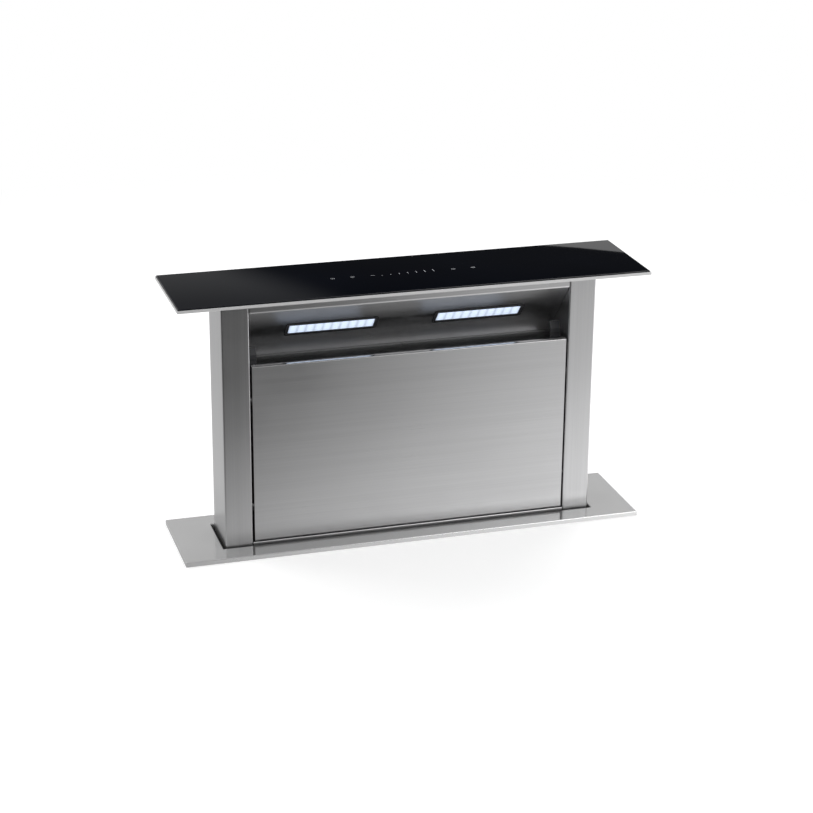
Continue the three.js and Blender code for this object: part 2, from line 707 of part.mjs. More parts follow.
// A rim with slanted baffles, and the house that its bolt slides in.
function greaseFilter() {
  const inner = SEAT_GAP;
  const half = FILTER_THICKNESS / 2;
  const rim = block(inner, -half, 0, FILTER_OUTER, half, FILTER_HEIGHT);
  const window = block(
    inner + FILTER_RIM,
    -half - 1,
    FILTER_RIM,
    FILTER_OUTER - FILTER_RIM,
    half + 1,
    FILTER_HEIGHT - FILTER_RIM,
  );
  const pitch = (FILTER_OUTER - inner - 2 * FILTER_RIM) / FILTER_SLATS;
  const slats = Array.from({ length: FILTER_SLATS }, (_, i) =>
    block(
      -SLAT_WIDTH / 2,
      -SLAT_THICKNESS / 2,
      FILTER_RIM / 2,
      SLAT_WIDTH / 2,
      SLAT_THICKNESS / 2,
      FILTER_HEIGHT - FILTER_RIM / 2,
    )
      .rotateZ(radians(SLAT_ANGLE))
      .translate(inner + FILTER_RIM + pitch * (i + 0.5), 0, 0),
  );
  const house = block(
    FILTER_OUTER - BOLT_LENGTH + BOLT_THROW + 2 * BOLT_TAB,
    BOLT_OUT - BOLT_HOUSE / 2,
    BOLT_HEIGHT - BOLT_HOUSE / 2,
    FILTER_OUTER,
    0,
    BOLT_HEIGHT + BOLT_HOUSE / 2,
  );
  const bore = cylinder(
    BOLT_RADIUS + RUN_GAP,
    FILTER_OUTER - BOLT_LENGTH,
    FILTER_OUTER + 1,
    "x",
    [0, BOLT_OUT, BOLT_HEIGHT],
    16,
  );
  return leaning(cut(join(cut(rim, window), ...slats, house), bore));
}

// A sliding rod with a finger tab at its inner end.
function filterBolt() {
  const tip = FILTER_OUTER + BOLT_ENGAGE;
  const place = [0, BOLT_OUT, BOLT_HEIGHT];
  const rod = cylinder(BOLT_RADIUS, tip - BOLT_LENGTH, tip, "x", place, 16);
  const tab = block(
    tip - BOLT_LENGTH,
    BOLT_OUT - BOLT_HOUSE,
    BOLT_HEIGHT - BOLT_TAB,
    tip - BOLT_LENGTH + 2,
    BOLT_OUT,
    BOLT_HEIGHT + BOLT_TAB,
  );
  return leaning(join(rod, tab));
}

// ---------------------------------------------------------------- lift

const polar = (radius, angle) => at(radius * Math.cos(angle), radius * Math.sin(angle));

// An involute spur gear's outline, with a tooth space centred on the angle zero.
function gearOutline(teeth) {
  const pitch = (GEAR_MODULE * teeth) / 2;
  const base = pitch * Math.cos(radians(PRESSURE_ANGLE));
  const tip = pitch + GEAR_MODULE;
  const root = pitch - 1.25 * GEAR_MODULE;
  const involute = (radius) => {
    const roll = Math.acos(Math.min(base / radius, 1));
    return Math.tan(roll) - roll;
  };
  const halfTooth = Math.PI / (2 * teeth) - BACKLASH / (2 * pitch) + involute(pitch);
  const flank = [base, pitch, tip].map((radius) => ({
    radius,
    half: halfTooth - involute(radius),
  }));
  const points = [];
  for (let i = 0; i < teeth; i++) {
    const middle = (2 * Math.PI * (i + 0.5)) / teeth;
    points.push(polar(root, middle - halfTooth));
    flank.forEach(({ radius, half }) => points.push(polar(radius, middle - half)));
    flank.toReversed().forEach(({ radius, half }) => points.push(polar(radius, middle + half)));
    points.push(polar(root, middle + halfTooth));
  }
  return points;
}

// The gear's space at angle zero is turned to face the rack behind it.
function pinion() {
  const outline = gearOutline(PINION_TEETH).map((point) =>
    point.rotateAround(at(0, 0), Math.PI / 2).add(at(0, SHAFT_Z)),
  );
  const bore = circle(0, SHAFT_Z, SHAFT_RADIUS + SEAT_GAP);
  return alongX(outline, PINION_INNER, PINION_INNER + GEAR_WIDTH, [bore]);
}

function crossShaft() {
  const end = PINION_INNER + GEAR_WIDTH;
  return cylinder(SHAFT_RADIUS, -end, end, "x", [0, 0, SHAFT_Z]);
}

function shaftBush() {
  const bore = SHAFT_RADIUS + RUN_GAP;
  const sleeve = bore + BUSH_WALL;
  const face = COLUMN_HALF + SEAT_GAP;
  const profile = [
    at(bore, POST_INNER),
    at(sleeve, POST_INNER),
    at(sleeve, face),
    at(sleeve + BUSH_FLANGE_RIM, face),
    at(sleeve + BUSH_FLANGE_RIM, face + BUSH_FLANGE),
    at(bore, face + BUSH_FLANGE),
    at(bore, POST_INNER),
  ];
  return turned(profile, "x", [0, 0, SHAFT_Z], 18);
}

// Teeth face forward, with one centred level with the pinion's axis.
const TOOTH_PITCH = Math.PI * GEAR_MODULE;
const RACK_TIP = PITCH_RADIUS - GEAR_MODULE;
const RACK_ROOT = PITCH_RADIUS + 1.25 * GEAR_MODULE;
const RACK_REAR = RACK_ROOT + RACK_BACK;
const RACK_ABOVE = 3; // teeth above the raised pinion's axis
const RACK_BELOW = Math.floor((TRAVEL + SHAFT_RISE) / TOOTH_PITCH);

function rack() {
  const slope = Math.tan(radians(PRESSURE_ANGLE));
  const halfAt = (depth) => TOOTH_PITCH / 4 - BACKLASH / 4 + (depth - GEAR_MODULE) * slope;
  const points = [];
  for (let i = -RACK_BELOW; i <= RACK_ABOVE; i++) {
    const z = SHAFT_Z + i * TOOTH_PITCH;
    points.push(
      at(RACK_ROOT, z - halfAt(2.25 * GEAR_MODULE)),
      at(RACK_TIP, z - halfAt(0)),
      at(RACK_TIP, z + halfAt(0)),
      at(RACK_ROOT, z + halfAt(2.25 * GEAR_MODULE)),
    );
  }
  const low = SHAFT_Z - (RACK_BELOW + 0.5) * TOOTH_PITCH;
  const high = SHAFT_Z + (RACK_ABOVE + 0.5) * TOOTH_PITCH;
  const ends = [at(RACK_ROOT, high), at(RACK_REAR, high), at(RACK_REAR, low), at(RACK_ROOT, low)];
  return alongX([...points, ...ends], PINION_INNER, PINION_INNER + GEAR_WIDTH);
}

// A channel for the shoes, with a wall behind it that carries the rack.
function guideRail() {
  const face = RAIL_FACE;
  const plate = face - RAIL_SHEET;
  const near = SHOE_OFFSET + SHOE_WIDTH / 2 + RUN_GAP;
  const far = SHOE_OFFSET - SHOE_WIDTH / 2 - RUN_GAP;
  const wall = RACK_REAR + SEAT_GAP;
  const outline = [
    at(face, far - CHANNEL_LIP),
    at(face, wall + RAIL_SHEET),
    at(PINION_INNER, wall + RAIL_SHEET),
    at(PINION_INNER, wall),
    at(plate, wall),
    at(plate, near + CHANNEL_LIP),
    at(plate - CHANNEL_DEPTH, near + CHANNEL_LIP),
    at(plate - CHANNEL_DEPTH, near),
    at(plate, near),
    at(plate, far),
    at(plate - CHANNEL_DEPTH, far),
    at(plate - CHANNEL_DEPTH, far - CHANNEL_LIP),
  ];
  return alongZ(outline, RAIL_BOTTOM, RAIL_TOP);
}

// A block on the post, cut back to a tongue that runs in the channel.
function shoe(drop) {
  const tongue = RAIL_FACE - RAIL_SHEET - RUN_GAP;
  const lip = RAIL_FACE - RAIL_SHEET - CHANNEL_DEPTH - 1;
  const half = SHOE_WIDTH / 2;
  const outline = [
    at(COLUMN_HALF + SEAT_GAP, SHOE_OFFSET - half - 2),
    at(lip, SHOE_OFFSET - half - 2),
    at(lip, SHOE_OFFSET - half),
    at(tongue, SHOE_OFFSET - half),
    at(tongue, SHOE_OFFSET + half),
    at(lip, SHOE_OFFSET + half),
    at(lip, SHOE_OFFSET + half + 2),
    at(COLUMN_HALF + SEAT_GAP, SHOE_OFFSET + half + 2),
  ];
  return alongZ(outline, -drop, -drop + SHOE_HEIGHT);
}

// Cast housing over the worm wheel, bolted to the column's back.
function gearbox() {
  const x = GEARBOX_X;
  const rear = BACK - COLUMN_SHEET - SEAT_GAP;
  const half = GEARBOX_HEIGHT / 2;
  const side = rounded(
    rectangle(-half, SHAFT_Z - half, rear, SHAFT_Z + half),
    6,
    4,
    true,
  );
  const body = alongX(side, x - GEARBOX_WIDTH / 2, x + GEARBOX_WIDTH / 2);
  const end = GEARBOX_WIDTH / 2 + GEARBOX_HUB;
  const hub = cylinder(SHAFT_RADIUS + GEARBOX_HUB_WALL, x - end, x + end, "x", [0, 0, SHAFT_Z]);
  const bore = cylinder(SHAFT_RADIUS + RUN_GAP, x - end - 1, x + end + 1, "x", [0, 0, SHAFT_Z]);
  return cut(join(body, hub), bore);
}

const LIFT_MOTOR_Y = BACK - COLUMN_SHEET - LIFT_MOTOR_RADIUS - 1;

function liftMotor() {
  const foot = SHAFT_Z + GEARBOX_HEIGHT / 2 + SEAT_GAP;
  const top = foot + LIFT_MOTOR_LENGTH;
  const profile = [
    at(0, foot),
    at(LIFT_MOTOR_RADIUS, foot),
    at(LIFT_MOTOR_RADIUS, foot + 4),
    at(LIFT_MOTOR_RADIUS - 2, foot + 5),
    at(LIFT_MOTOR_RADIUS - 2, top - 14),
    at(LIFT_MOTOR_RADIUS - 4, top - 12),
    at(LIFT_MOTOR_RADIUS - 4, top),
    at(0, top),
  ];
  return turned(profile, "z", [GEARBOX_X, LIFT_MOTOR_Y, 0], 24);
}

// ---------------------------------------------------------------- worktop

function trimFrame() {
  const x = TRIM_HALF;
  const y = TRIM_DEPTH / 2;
  const slotX = COLUMN_HALF + SLOT_GAP;
  const slotY = COLUMN_DEPTH / 2 + SLOT_GAP;
  const shape = drawn(rectangle(-x, -y, x, y), [rectangle(-slotX, -slotY, slotX, slotY)]);
  const plate = new THREE.ExtrudeGeometry(shape, {
    depth: TRIM_THICKNESS,
    bevelThickness: TRIM_CHAMFER,
    bevelSize: TRIM_CHAMFER,
    bevelOffset: -TRIM_CHAMFER,
    bevelSegments: 1,
  }).translate(0, 0, -TRIM_CHAMFER);
  const cutoutX = CHASSIS_HALF + CUTOUT_MARGIN;
  const cutoutY = CHASSIS_OUTER + CUTOUT_MARGIN;
  const rebate = block(-cutoutX, -cutoutY, -1, cutoutX, cutoutY, TRIM_REBATE);
  return cut(plate, block(-x - 1, -y - 1, -TRIM_CHAMFER - 1, x + 1, y + 1, 0), rebate);
}

// A rubber ring that fills the slot between trim and column.
function slotSeal() {
  const outX = COLUMN_HALF + SLOT_GAP - SEAT_GAP;
  const outY = COLUMN_DEPTH / 2 + SLOT_GAP - SEAT_GAP;
  const inX = COLUMN_HALF + SEAL_CLEARANCE;
  const inY = COLUMN_DEPTH / 2 + SEAL_CLEARANCE;
  const hole = rectangle(-inX, -inY, inX, inY);
  return alongZ(rectangle(-outX, -outY, outX, outY), -SEAL_DROP, SEAL_RISE, [hole]);
}

// An angle screwed to the chassis, which grips the worktop from below.
function worktopClamp() {
  const y = CHASSIS_OUTER + SEAT_GAP;
  const path = rounded(
    [
      at(-y, -WORKTOP_THICKNESS - CLAMP_LEG),
      at(-y, -WORKTOP_THICKNESS),
      at(-y - CLAMP_LEG, -WORKTOP_THICKNESS),
    ],
    CLAMP_SHEET + 1,
  );
  return alongX(bentSheet(path, CLAMP_SHEET), -CLAMP_LENGTH / 2, CLAMP_LENGTH / 2);
}

// ---------------------------------------------------------------- chassis

function chassisShell() {
  const x = CHASSIS_HALF;
  const y = CHASSIS_OUTER;
  const front = SEAT_GAP - CHASSIS_INNER;
  const path = rounded(
    [at(x, front), at(x, y), at(-x, y), at(-x, front)],
    [0, CHASSIS_BEND, CHASSIS_BEND, 0],
  );
  return alongZ(bentSheet(path, CHASSIS_SHEET), CHASSIS_BOTTOM, CHASSIS_TOP);
}

// The front plate, stiffened by pressed beads and pierced for the blower.
function chassisCover() {
  const plate = block(
    -CHASSIS_HALF,
    -CHASSIS_OUTER,
    CHASSIS_BOTTOM,
    CHASSIS_HALF,
    -CHASSIS_INNER,
    CHASSIS_TOP,
  );
  const bead = (x, front, back, inset) => {
    const half = BEAD_WIDTH / 2 - inset;
    const outline = rectangle(x - half, BEAD_FOOT + inset, x + half, BEAD_HEAD - inset);
    return alongY(rounded(outline, BEAD_CORNER - inset, 2, true), front, back);
  };
  const beads = BEAD_PLACES.map((x) => bead(x, -CHASSIS_OUTER - BEAD_RISE, -CHASSIS_INNER, 0));
  const hollows = BEAD_PLACES.map((x) =>
    bead(x, -CHASSIS_INNER - BEAD_RISE, 1 - CHASSIS_INNER, CHASSIS_SHEET),
  );
  const inlet = cylinder(INLET_RADIUS, SCROLL_BACK, 1 - CHASSIS_INNER, "y", [0, 0, FAN_Z], 48);
  return cut(join(plate, ...beads), inlet, ...hollows);
}

function chassisFloor() {
  const x = CHASSIS_HALF - CHASSIS_BEND - SEAT_GAP;
  const y = CHASSIS_INNER - SEAT_GAP;
  const top = CHASSIS_BOTTOM + FLOOR_LIP;
  const path = rounded(
    [at(y, CHASSIS_BOTTOM), at(y, top), at(-y, top), at(-y, CHASSIS_BOTTOM)],
    CHASSIS_SHEET + 1,
  );
  return alongX(bentSheet(path, CHASSIS_SHEET), -x, x);
}

// A slotted foot that stands on the cabinet's floor.
function foot() {
  const x = CHASSIS_HALF + SEAT_GAP;
  const outer = x + FOOT_SHEET;
  const path = rounded(
    [at(outer - FOOT_LENGTH, FOOT_Z), at(outer, FOOT_Z), at(outer, CHASSIS_BOTTOM + FOOT_LENGTH)],
    FOOT_SHEET + 1,
  );
  const angle = alongY(bentSheet(path, FOOT_SHEET), -FOOT_WIDTH / 2, FOOT_WIDTH / 2);
  const slot = block(
    x - 1,
    -FOOT_SLOT / 2,
    CHASSIS_BOTTOM + FOOT_SLOT_MARGIN,
    outer + 1,
    FOOT_SLOT / 2,
    CHASSIS_BOTTOM + FOOT_LENGTH - FOOT_SLOT_MARGIN,
  );
  return cut(angle, slot);
}

// ---------------------------------------------------------------- blower

// The scroll's outline about the fan axis, grown outwards by a wall.
function scrollOutline(wall, reach) {
  const start = radians(TONGUE_ANGLE);
  const end = 1.5 * Math.PI;
  const steps = 36;
  const spiral = Array.from({ length: steps + 1 }, (_, i) => {
    const radius = WHEEL_RADIUS + SCROLL_START + (SCROLL_GROWTH * i) / steps + wall;
    return polar(radius, start + ((end - start) * i) / steps);
  });
  const tongue = spiral[0];
  return [...spiral, at(reach, -SCROLL_OUTER - wall), at(reach, tongue.y), tongue].slice(0, -1);
}

function blowerScroll() {
  const lift = (points) => points.map((point) => point.clone().add(at(0, FAN_Z)));
  const front = SCROLL_FRONT - SCROLL_WALL;
  const plate = (reach, from) =>
    alongY(lift(scrollOutline(SCROLL_WALL + reach, SCROLL_REACH)), from, from + SCROLL_WALL);
  const outer = alongY(lift(scrollOutline(SCROLL_WALL, SCROLL_REACH)), front, SCROLL_BACK);
  const seam = plate(SCROLL_SEAM, front);
  const flange = plate(SCROLL_FLANGE, SCROLL_BACK - SCROLL_WALL);
  const inner = alongY(
    lift(scrollOutline(0, SCROLL_REACH + 1)),
    SCROLL_FRONT,
    SCROLL_BACK - SCROLL_WALL,
  );
  const inlet = cylinder(INLET_RADIUS, SCROLL_BACK - 3, SCROLL_BACK + 1, "y", [0, 0, FAN_Z], 48);
  const nose = cylinder(
    HUB_RADIUS + RUN_GAP,
    SCROLL_FRONT - 3,
    SCROLL_FRONT + 1,
    "y",
    [0, 0, FAN_Z],
    32,
  );
  return cut(join(outer, seam, flange), inner, inlet, nose);
}

// A flanged ring that leads the air into the wheel.
function inletRing() {
  const throat = INLET_RADIUS - INLET_LIP_RADIUS;
  const rim = -CHASSIS_INNER + SEAT_GAP;
  const path = rounded(
    [
      at(throat - INLET_TAPER, rim - INLET_LENGTH),
      at(throat, rim),
      at(throat + INLET_FLANGE, rim),
    ],
    INLET_LIP_RADIUS,
  );
  const profile = bentSheet(path, INLET_WALL);
  return turned([...profile, profile[0]], "y", [0, 0, FAN_Z], 40);
}

// Forward-curved blades between a driven disc and a shroud ring, on a hub.
function impeller() {
  const disc = cylinder(WHEEL_RADIUS, WHEEL_FRONT, WHEEL_FRONT + WHEEL_DISC, "y", [0, 0, 0], 40);
  const shroud = tube(
    WHEEL_RADIUS - BLADE_CHORD,
    WHEEL_RADIUS,
    WHEEL_BACK - WHEEL_DISC,
    WHEEL_BACK,
    "y",
    [0, 0, 0],
    40,
  );
  const hub = cylinder(HUB_RADIUS, WHEEL_FRONT, WHEEL_FRONT + 16, "y", [0, 0, 0], 24);
  const bore = cylinder(FAN_SHAFT_RADIUS + SEAT_GAP, WHEEL_FRONT - 1, WHEEL_FRONT + 20, "y");
  const blades = Array.from({ length: BLADE_COUNT }, (_, i) => {
    const mid = BLADE_CHORD / 2;
    const outline = bentSheet(
      [at(-mid, 0), at(0, -2.2), at(mid, 2.5)],
      BLADE_THICKNESS,
    ).map((point) =>
      point.add(at(WHEEL_RADIUS - mid - 0.5, 0)).rotateAround(at(0, 0), (2 * Math.PI * i) / BLADE_COUNT),
    );
    return alongY(outline, WHEEL_FRONT + WHEEL_DISC / 2, WHEEL_BACK - WHEEL_DISC / 2);
  });
  return cut(join(disc, shroud, hub, ...blades), bore).translate(0, 0, FAN_Z);
}

function fanMotor() {
  const face = SCROLL_FRONT - SCROLL_WALL - SEAT_GAP;
  const profile = [
    at(0, WHEEL_FRONT + 12),
    at(FAN_SHAFT_RADIUS, WHEEL_FRONT + 12),
    at(FAN_SHAFT_RADIUS, face),
    at(MOTOR_RADIUS + MOTOR_FLANGE, face),
    at(MOTOR_RADIUS + MOTOR_FLANGE, face - 3),
    at(MOTOR_RADIUS, face - 3),
    at(MOTOR_RADIUS, face - MOTOR_LENGTH + MOTOR_DOME),
    at(MOTOR_RADIUS - 8, face - MOTOR_LENGTH),
    at(0, face - MOTOR_LENGTH),
  ];
  const can = turned(profile.toReversed(), "y", [0, 0, 0], 32);
  const ribs = Array.from({ length: MOTOR_RIBS }, (_, i) =>
    block(
      MOTOR_RADIUS - 2,
      face - MOTOR_LENGTH + MOTOR_DOME,
      -RIB_WIDTH / 2,
      MOTOR_RADIUS + RIB_RISE,
      face - 2,
      RIB_WIDTH / 2,
    ).rotateY((2 * Math.PI * (i + 0.5)) / MOTOR_RIBS),
  );
  return join(can, ...ribs).translate(0, 0, FAN_Z);
}

// A tube whose section goes from the scroll's rectangle to the round duct.
function outletAdapter() {
  const sides = 32;
  const from = SCROLL_REACH + SEAT_GAP;
  const to = SPIGOT_ROOT - SEAT_GAP;
  const low = FAN_Z - SCROLL_OUTER;
  const high = FAN_Z + polar(WHEEL_RADIUS + SCROLL_START, radians(TONGUE_ANGLE)).y;
  const halfY = (SCROLL_BACK - SCROLL_FRONT - SCROLL_WALL) / 2;
  const midY = (SCROLL_BACK - SCROLL_WALL + SCROLL_FRONT) / 2;
  const halfZ = (high - low) / 2;
  const midZ = (high + low) / 2;
  const ring = (x, share, wall) =>
    Array.from({ length: sides }, (_, i) => {
      const angle = (2 * Math.PI * (i + 0.5)) / sides;
      const c = Math.cos(angle);
      const s = Math.sin(angle);
      const box = Math.max(Math.abs(c), Math.abs(s));
      const boxY = midY + ((halfY + wall) * c) / box;
      const boxZ = midZ + ((halfZ + wall) * s) / box;
      const roundY = DUCT_Y + (DUCT_RADIUS + wall) * c;
      const roundZ = DUCT_Z + (DUCT_RADIUS + wall) * s;
      const mix = THREE.MathUtils.lerp;
      return [x, mix(boxY, roundY, share), mix(boxZ, roundZ, share)];
    });
  const steps = 4;
  const along = (wall) =>
    Array.from({ length: steps + 1 }, (_, i) => {
      const share = i / steps;
      return ring(from + (to - from) * share, THREE.MathUtils.smoothstep(share, 0, 1), wall);
    });
  return loftedTube([...along(SCROLL_WALL), ...along(0).reverse()]);
}

// Rings of equal length, each joined to the next, and the last to the first.
function loftedTube(rings) {
  const sides = rings[0].length;
  const index = [];
  rings.forEach((_, i) => {
    const here = i * sides;
    const next = ((i + 1) % rings.length) * sides;
    for (let j = 0; j < sides; j++) {
      const k = (j + 1) % sides;
      index.push(here + j, here + k, next + k, here + j, next + k, next + j);
    }
  });
  const geometry = new THREE.BufferGeometry();
  geometry.setAttribute("position", new THREE.Float32BufferAttribute(rings.flat(2), 3));
  geometry.setIndex(index);
  geometry.computeVertexNormals();
  return geometry;
}

function outletSpigot() {
  const end = SPIGOT_ROOT + SPIGOT_LENGTH;
  const outer = DUCT_RADIUS + DUCT_WALL;
  const bead = end - 12;
  const profile = [
    at(DUCT_RADIUS, SPIGOT_ROOT),
    at(outer + SPIGOT_FLANGE, SPIGOT_ROOT),
    at(outer + SPIGOT_FLANGE, SPIGOT_ROOT + 3),
    at(outer, SPIGOT_ROOT + 3),
    at(outer, bead - 3),
    at(outer + SPIGOT_BEAD, bead),
    at(outer, bead + 3),
    at(outer, end),
    at(DUCT_RADIUS, end),
    at(DUCT_RADIUS, SPIGOT_ROOT),
  ];
  const pinSeat = cylinder(FLAP_PIN_RADIUS + SEAT_GAP, -outer - 1, outer + 1, "z", [FLAP_X, 0, 0], 16);
  const ringed = turned(profile, "x", [0, 0, 0], 40);
  return cut(ringed, pinSeat).translate(0, DUCT_Y, DUCT_Z);
}

const FLAP_X = SPIGOT_ROOT + FLAP_SETBACK;

function flapPin() {
  const half = DUCT_RADIUS + DUCT_WALL;
  return cylinder(FLAP_PIN_RADIUS, -half, half, "z", [FLAP_X, DUCT_Y, DUCT_Z], 16);
}

// A half disc with two knuckles on the pin. side is 1 for the rear flap and -1 for the front one.
function flap(side) {
  const radius = DUCT_RADIUS - FLAP_GAP;
  const knuckle = FLAP_PIN_RADIUS + RUN_GAP + KNUCKLE_WALL;
  const inner = FLAP_PIN_RADIUS + RUN_GAP;
  const edge = Math.acos((knuckle - 0.4) / radius);
  const half = arc(0, 0, radius, -edge, edge, 24).map((point) => at(point.x * side, point.y));
  const plate = alongX(side > 0 ? half : half.toReversed(), -knuckle, -knuckle + FLAP_THICKNESS);
  const relief = cylinder(knuckle + 0.4, -radius, radius, "z", [0, 0, 0], 16);
  const heights = [-0.62, 0.28].map((share) => (share + (side > 0 ? 0.17 : -0.17)) * radius);
  const knuckles = heights.map((z) => tube(inner, knuckle, z, z + KNUCKLE_LENGTH, "z", [0, 0, 0], 16));
  const webs = heights.map((z) => {
    const y0 = side > 0 ? 0 : -knuckle - 1.5;
    const y1 = side > 0 ? knuckle + 1.5 : 0;
    return block(-knuckle, y0, z, -knuckle + FLAP_THICKNESS, y1, z + KNUCKLE_LENGTH);
  });
  const bore = cylinder(inner, -radius, radius, "z", [0, 0, 0], 16);
  const leaf = join(cut(plate, relief), ...knuckles, ...webs);
  return cut(leaf, bore).translate(FLAP_X, DUCT_Y, DUCT_Z);
}

// ---------------------------------------------------------------- electronics

function boxPlace() {
  const rear = -CHASSIS_OUTER - SEAT_GAP;
  return {
    left: BOX_X - BOX_WIDTH / 2,
    right: BOX_X + BOX_WIDTH / 2,
    rear,
    front: rear - BOX_DEPTH,
    top: BOX_TOP,
    foot: BOX_TOP - BOX_HEIGHT,
  };
}

function electronicsBox() {
  const { left, right, rear, front, top, foot } = boxPlace();
  const shell = block(left, front, foot, right, rear, top);
  const hollow = block(
    left + BOX_WALL,
    front - 1,
    foot + BOX_WALL,
    right - BOX_WALL,
    rear - BOX_WALL,
    top - BOX_WALL,
  );
  const gland = cylinder(
    GLAND_RADIUS - 2 + SEAT_GAP,
    foot - 1,
    foot + BOX_WALL + 1,
    "z",
    [BOX_X, (rear + front) / 2, 0],
  );
  return cut(shell, hollow, gland);
}

function boxLid() {
  const { left, right, front, top, foot } = boxPlace();
  const outline = rounded(rectangle(left, foot, right, top), 4, 4, true);
  return alongY(outline, front - SEAT_GAP - BOX_WALL, front - SEAT_GAP);
}

function controlBoard() {
  const { left, right, rear, top, foot } = boxPlace();
  const inset = BOX_WALL + 3;
  const back = rear - BOX_WALL - SEAT_GAP;
  return block(left + inset, back - 1.6, foot + inset + 14, right - inset, back, top - inset);
}

function cableGland() {
  const { rear, front, foot } = boxPlace();
  const bore = 4;
  const neck = GLAND_RADIUS - 2;
  const profile = [
    at(bore, foot - 22),
    at(neck - 1, foot - 22),
    at(GLAND_RADIUS, foot - 17),
    at(GLAND_RADIUS, foot - SEAT_GAP),
    at(neck, foot - SEAT_GAP),
    at(neck, foot + BOX_WALL + 3),
    at(bore, foot + BOX_WALL + 3),
    at(bore, foot - 22),
  ];
  return turned(profile, "z", [BOX_X, (rear + front) / 2, 0], 18);
}

// ---------------------------------------------------------------- assembly

const vent = new THREE.Group();
vent.name = "downdraft_vent";

const column = new THREE.Group();
add(column, "top_tray", topTray(), STAINLESS);
add(column, "glass_top", glassPane(), BLACK_GLASS);
add(column, "touch_board", touchBoard(), BOARD_GREEN);
addPair(column, "post", post(), STAINLESS);
add(column, "column_back", columnBack(), STAINLESS);
add(column, "column_lower_front", columnLowerFront(), STAINLESS);
add(column, "lamp_canopy", canopy(), STAINLESS);
addPair(column, "lamp_bezel", lampBezel(), BLACK_PLASTIC);
addPair(column, "lamp_lens", lampLens(), LAMP_GLASS);
addPair(column, "panel_catch", panelCatch(), BRIGHT_STEEL);
add(column, "drip_tray", dripTray(), ALUMINIUM);
addPair(column, "grease_filter", greaseFilter(), ALUMINIUM);
addPair(column, "filter_bolt", filterBolt(), BRIGHT_STEEL);
add(column, "front_panel", frontPanel(), STAINLESS);
add(column, "panel_ledge", panelLedge(), STAINLESS);
add(column, "cross_shaft", crossShaft(), BRIGHT_STEEL);
addPair(column, "pinion", pinion(), BRIGHT_STEEL);
addPair(column, "shaft_bush", shaftBush(), BRONZE);
add(column, "gearbox", gearbox(), ALUMINIUM);
add(column, "lift_motor", liftMotor(), GALVANISED);
addPair(column, "upper_shoe", shoe(UPPER_SHOE_DROP), GREY_PLASTIC);
addPair(column, "lower_shoe", shoe(LOWER_SHOE_DROP), GREY_PLASTIC);
vent.add(column);

const base = new THREE.Group();
add(base, "trim_frame", trimFrame(), STAINLESS);
add(base, "slot_seal", slotSeal(), RUBBER);
add(base, "chassis_shell", chassisShell(), GALVANISED);
add(base, "chassis_cover", chassisCover(), GALVANISED);
add(base, "chassis_floor", chassisFloor(), GALVANISED);
addPair(base, "guide_rail", guideRail(), ALUMINIUM);
addPair(base, "rack", rack(), BRIGHT_STEEL);
add(base, "front_clamp", worktopClamp(), GALVANISED);
add(base, "rear_clamp", worktopClamp(), GALVANISED).rotation.z = Math.PI;
addPair(base, "foot", foot(), GALVANISED);
vent.add(base);

const blower = new THREE.Group();
add(blower, "inlet_ring", inletRing(), GALVANISED);
add(blower, "blower_scroll", blowerScroll(), GALVANISED);
add(blower, "impeller", impeller(), GREY_PLASTIC);
add(blower, "fan_motor", fanMotor(), ALUMINIUM);
add(blower, "outlet_adapter", outletAdapter(), GALVANISED);
add(blower, "outlet_spigot", outletSpigot(), BLACK_PLASTIC);
add(blower, "flap_pin", flapPin(), BRIGHT_STEEL);
add(blower, "front_flap", flap(-1), BLACK_PLASTIC);
add(blower, "rear_flap", flap(1), BLACK_PLASTIC);
vent.add(blower);

const electronics = new THREE.Group();
add(electronics, "electronics_box", electronicsBox(), BLACK_PLASTIC);
add(electronics, "box_lid", boxLid(), BLACK_PLASTIC);
add(electronics, "control_board", controlBoard(), BOARD_GREEN);
add(electronics, "cable_gland", cableGland(), BLACK_PLASTIC);
vent.add(electronics);

export default vent;
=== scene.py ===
"""A retractable downdraft vent, raised from the worktop: surfaces, fine pieces and studio."""

import json
import math

import bmesh
import bpy
from bpy.props import FloatProperty, FloatVectorProperty, IntProperty, PointerProperty
from mathutils import Matrix, Vector


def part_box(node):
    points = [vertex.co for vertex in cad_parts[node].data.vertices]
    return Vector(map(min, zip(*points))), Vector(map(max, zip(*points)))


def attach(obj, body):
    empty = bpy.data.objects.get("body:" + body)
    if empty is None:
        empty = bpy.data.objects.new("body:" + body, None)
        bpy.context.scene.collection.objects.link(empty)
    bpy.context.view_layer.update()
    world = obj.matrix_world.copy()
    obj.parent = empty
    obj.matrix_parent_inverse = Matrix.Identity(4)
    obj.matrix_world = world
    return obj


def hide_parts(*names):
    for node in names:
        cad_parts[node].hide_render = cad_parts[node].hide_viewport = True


bl_info = {
    "name": "Downdraft Vent",
    "version": (1, 0, 0),
    "blender": (4, 5, 0),
    "location": "View3D > Sidebar > Vent",
    "description": "Dresses a retractable downdraft vent and sets up its studio",
    "category": "Object",
}

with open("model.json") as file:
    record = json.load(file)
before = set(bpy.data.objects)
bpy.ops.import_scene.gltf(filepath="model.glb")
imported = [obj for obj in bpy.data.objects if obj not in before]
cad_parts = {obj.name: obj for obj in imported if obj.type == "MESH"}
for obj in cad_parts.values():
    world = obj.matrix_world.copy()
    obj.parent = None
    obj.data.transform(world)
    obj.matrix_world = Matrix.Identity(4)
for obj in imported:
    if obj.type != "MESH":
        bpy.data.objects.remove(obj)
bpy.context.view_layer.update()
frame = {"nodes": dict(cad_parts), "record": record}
MM = 0.001

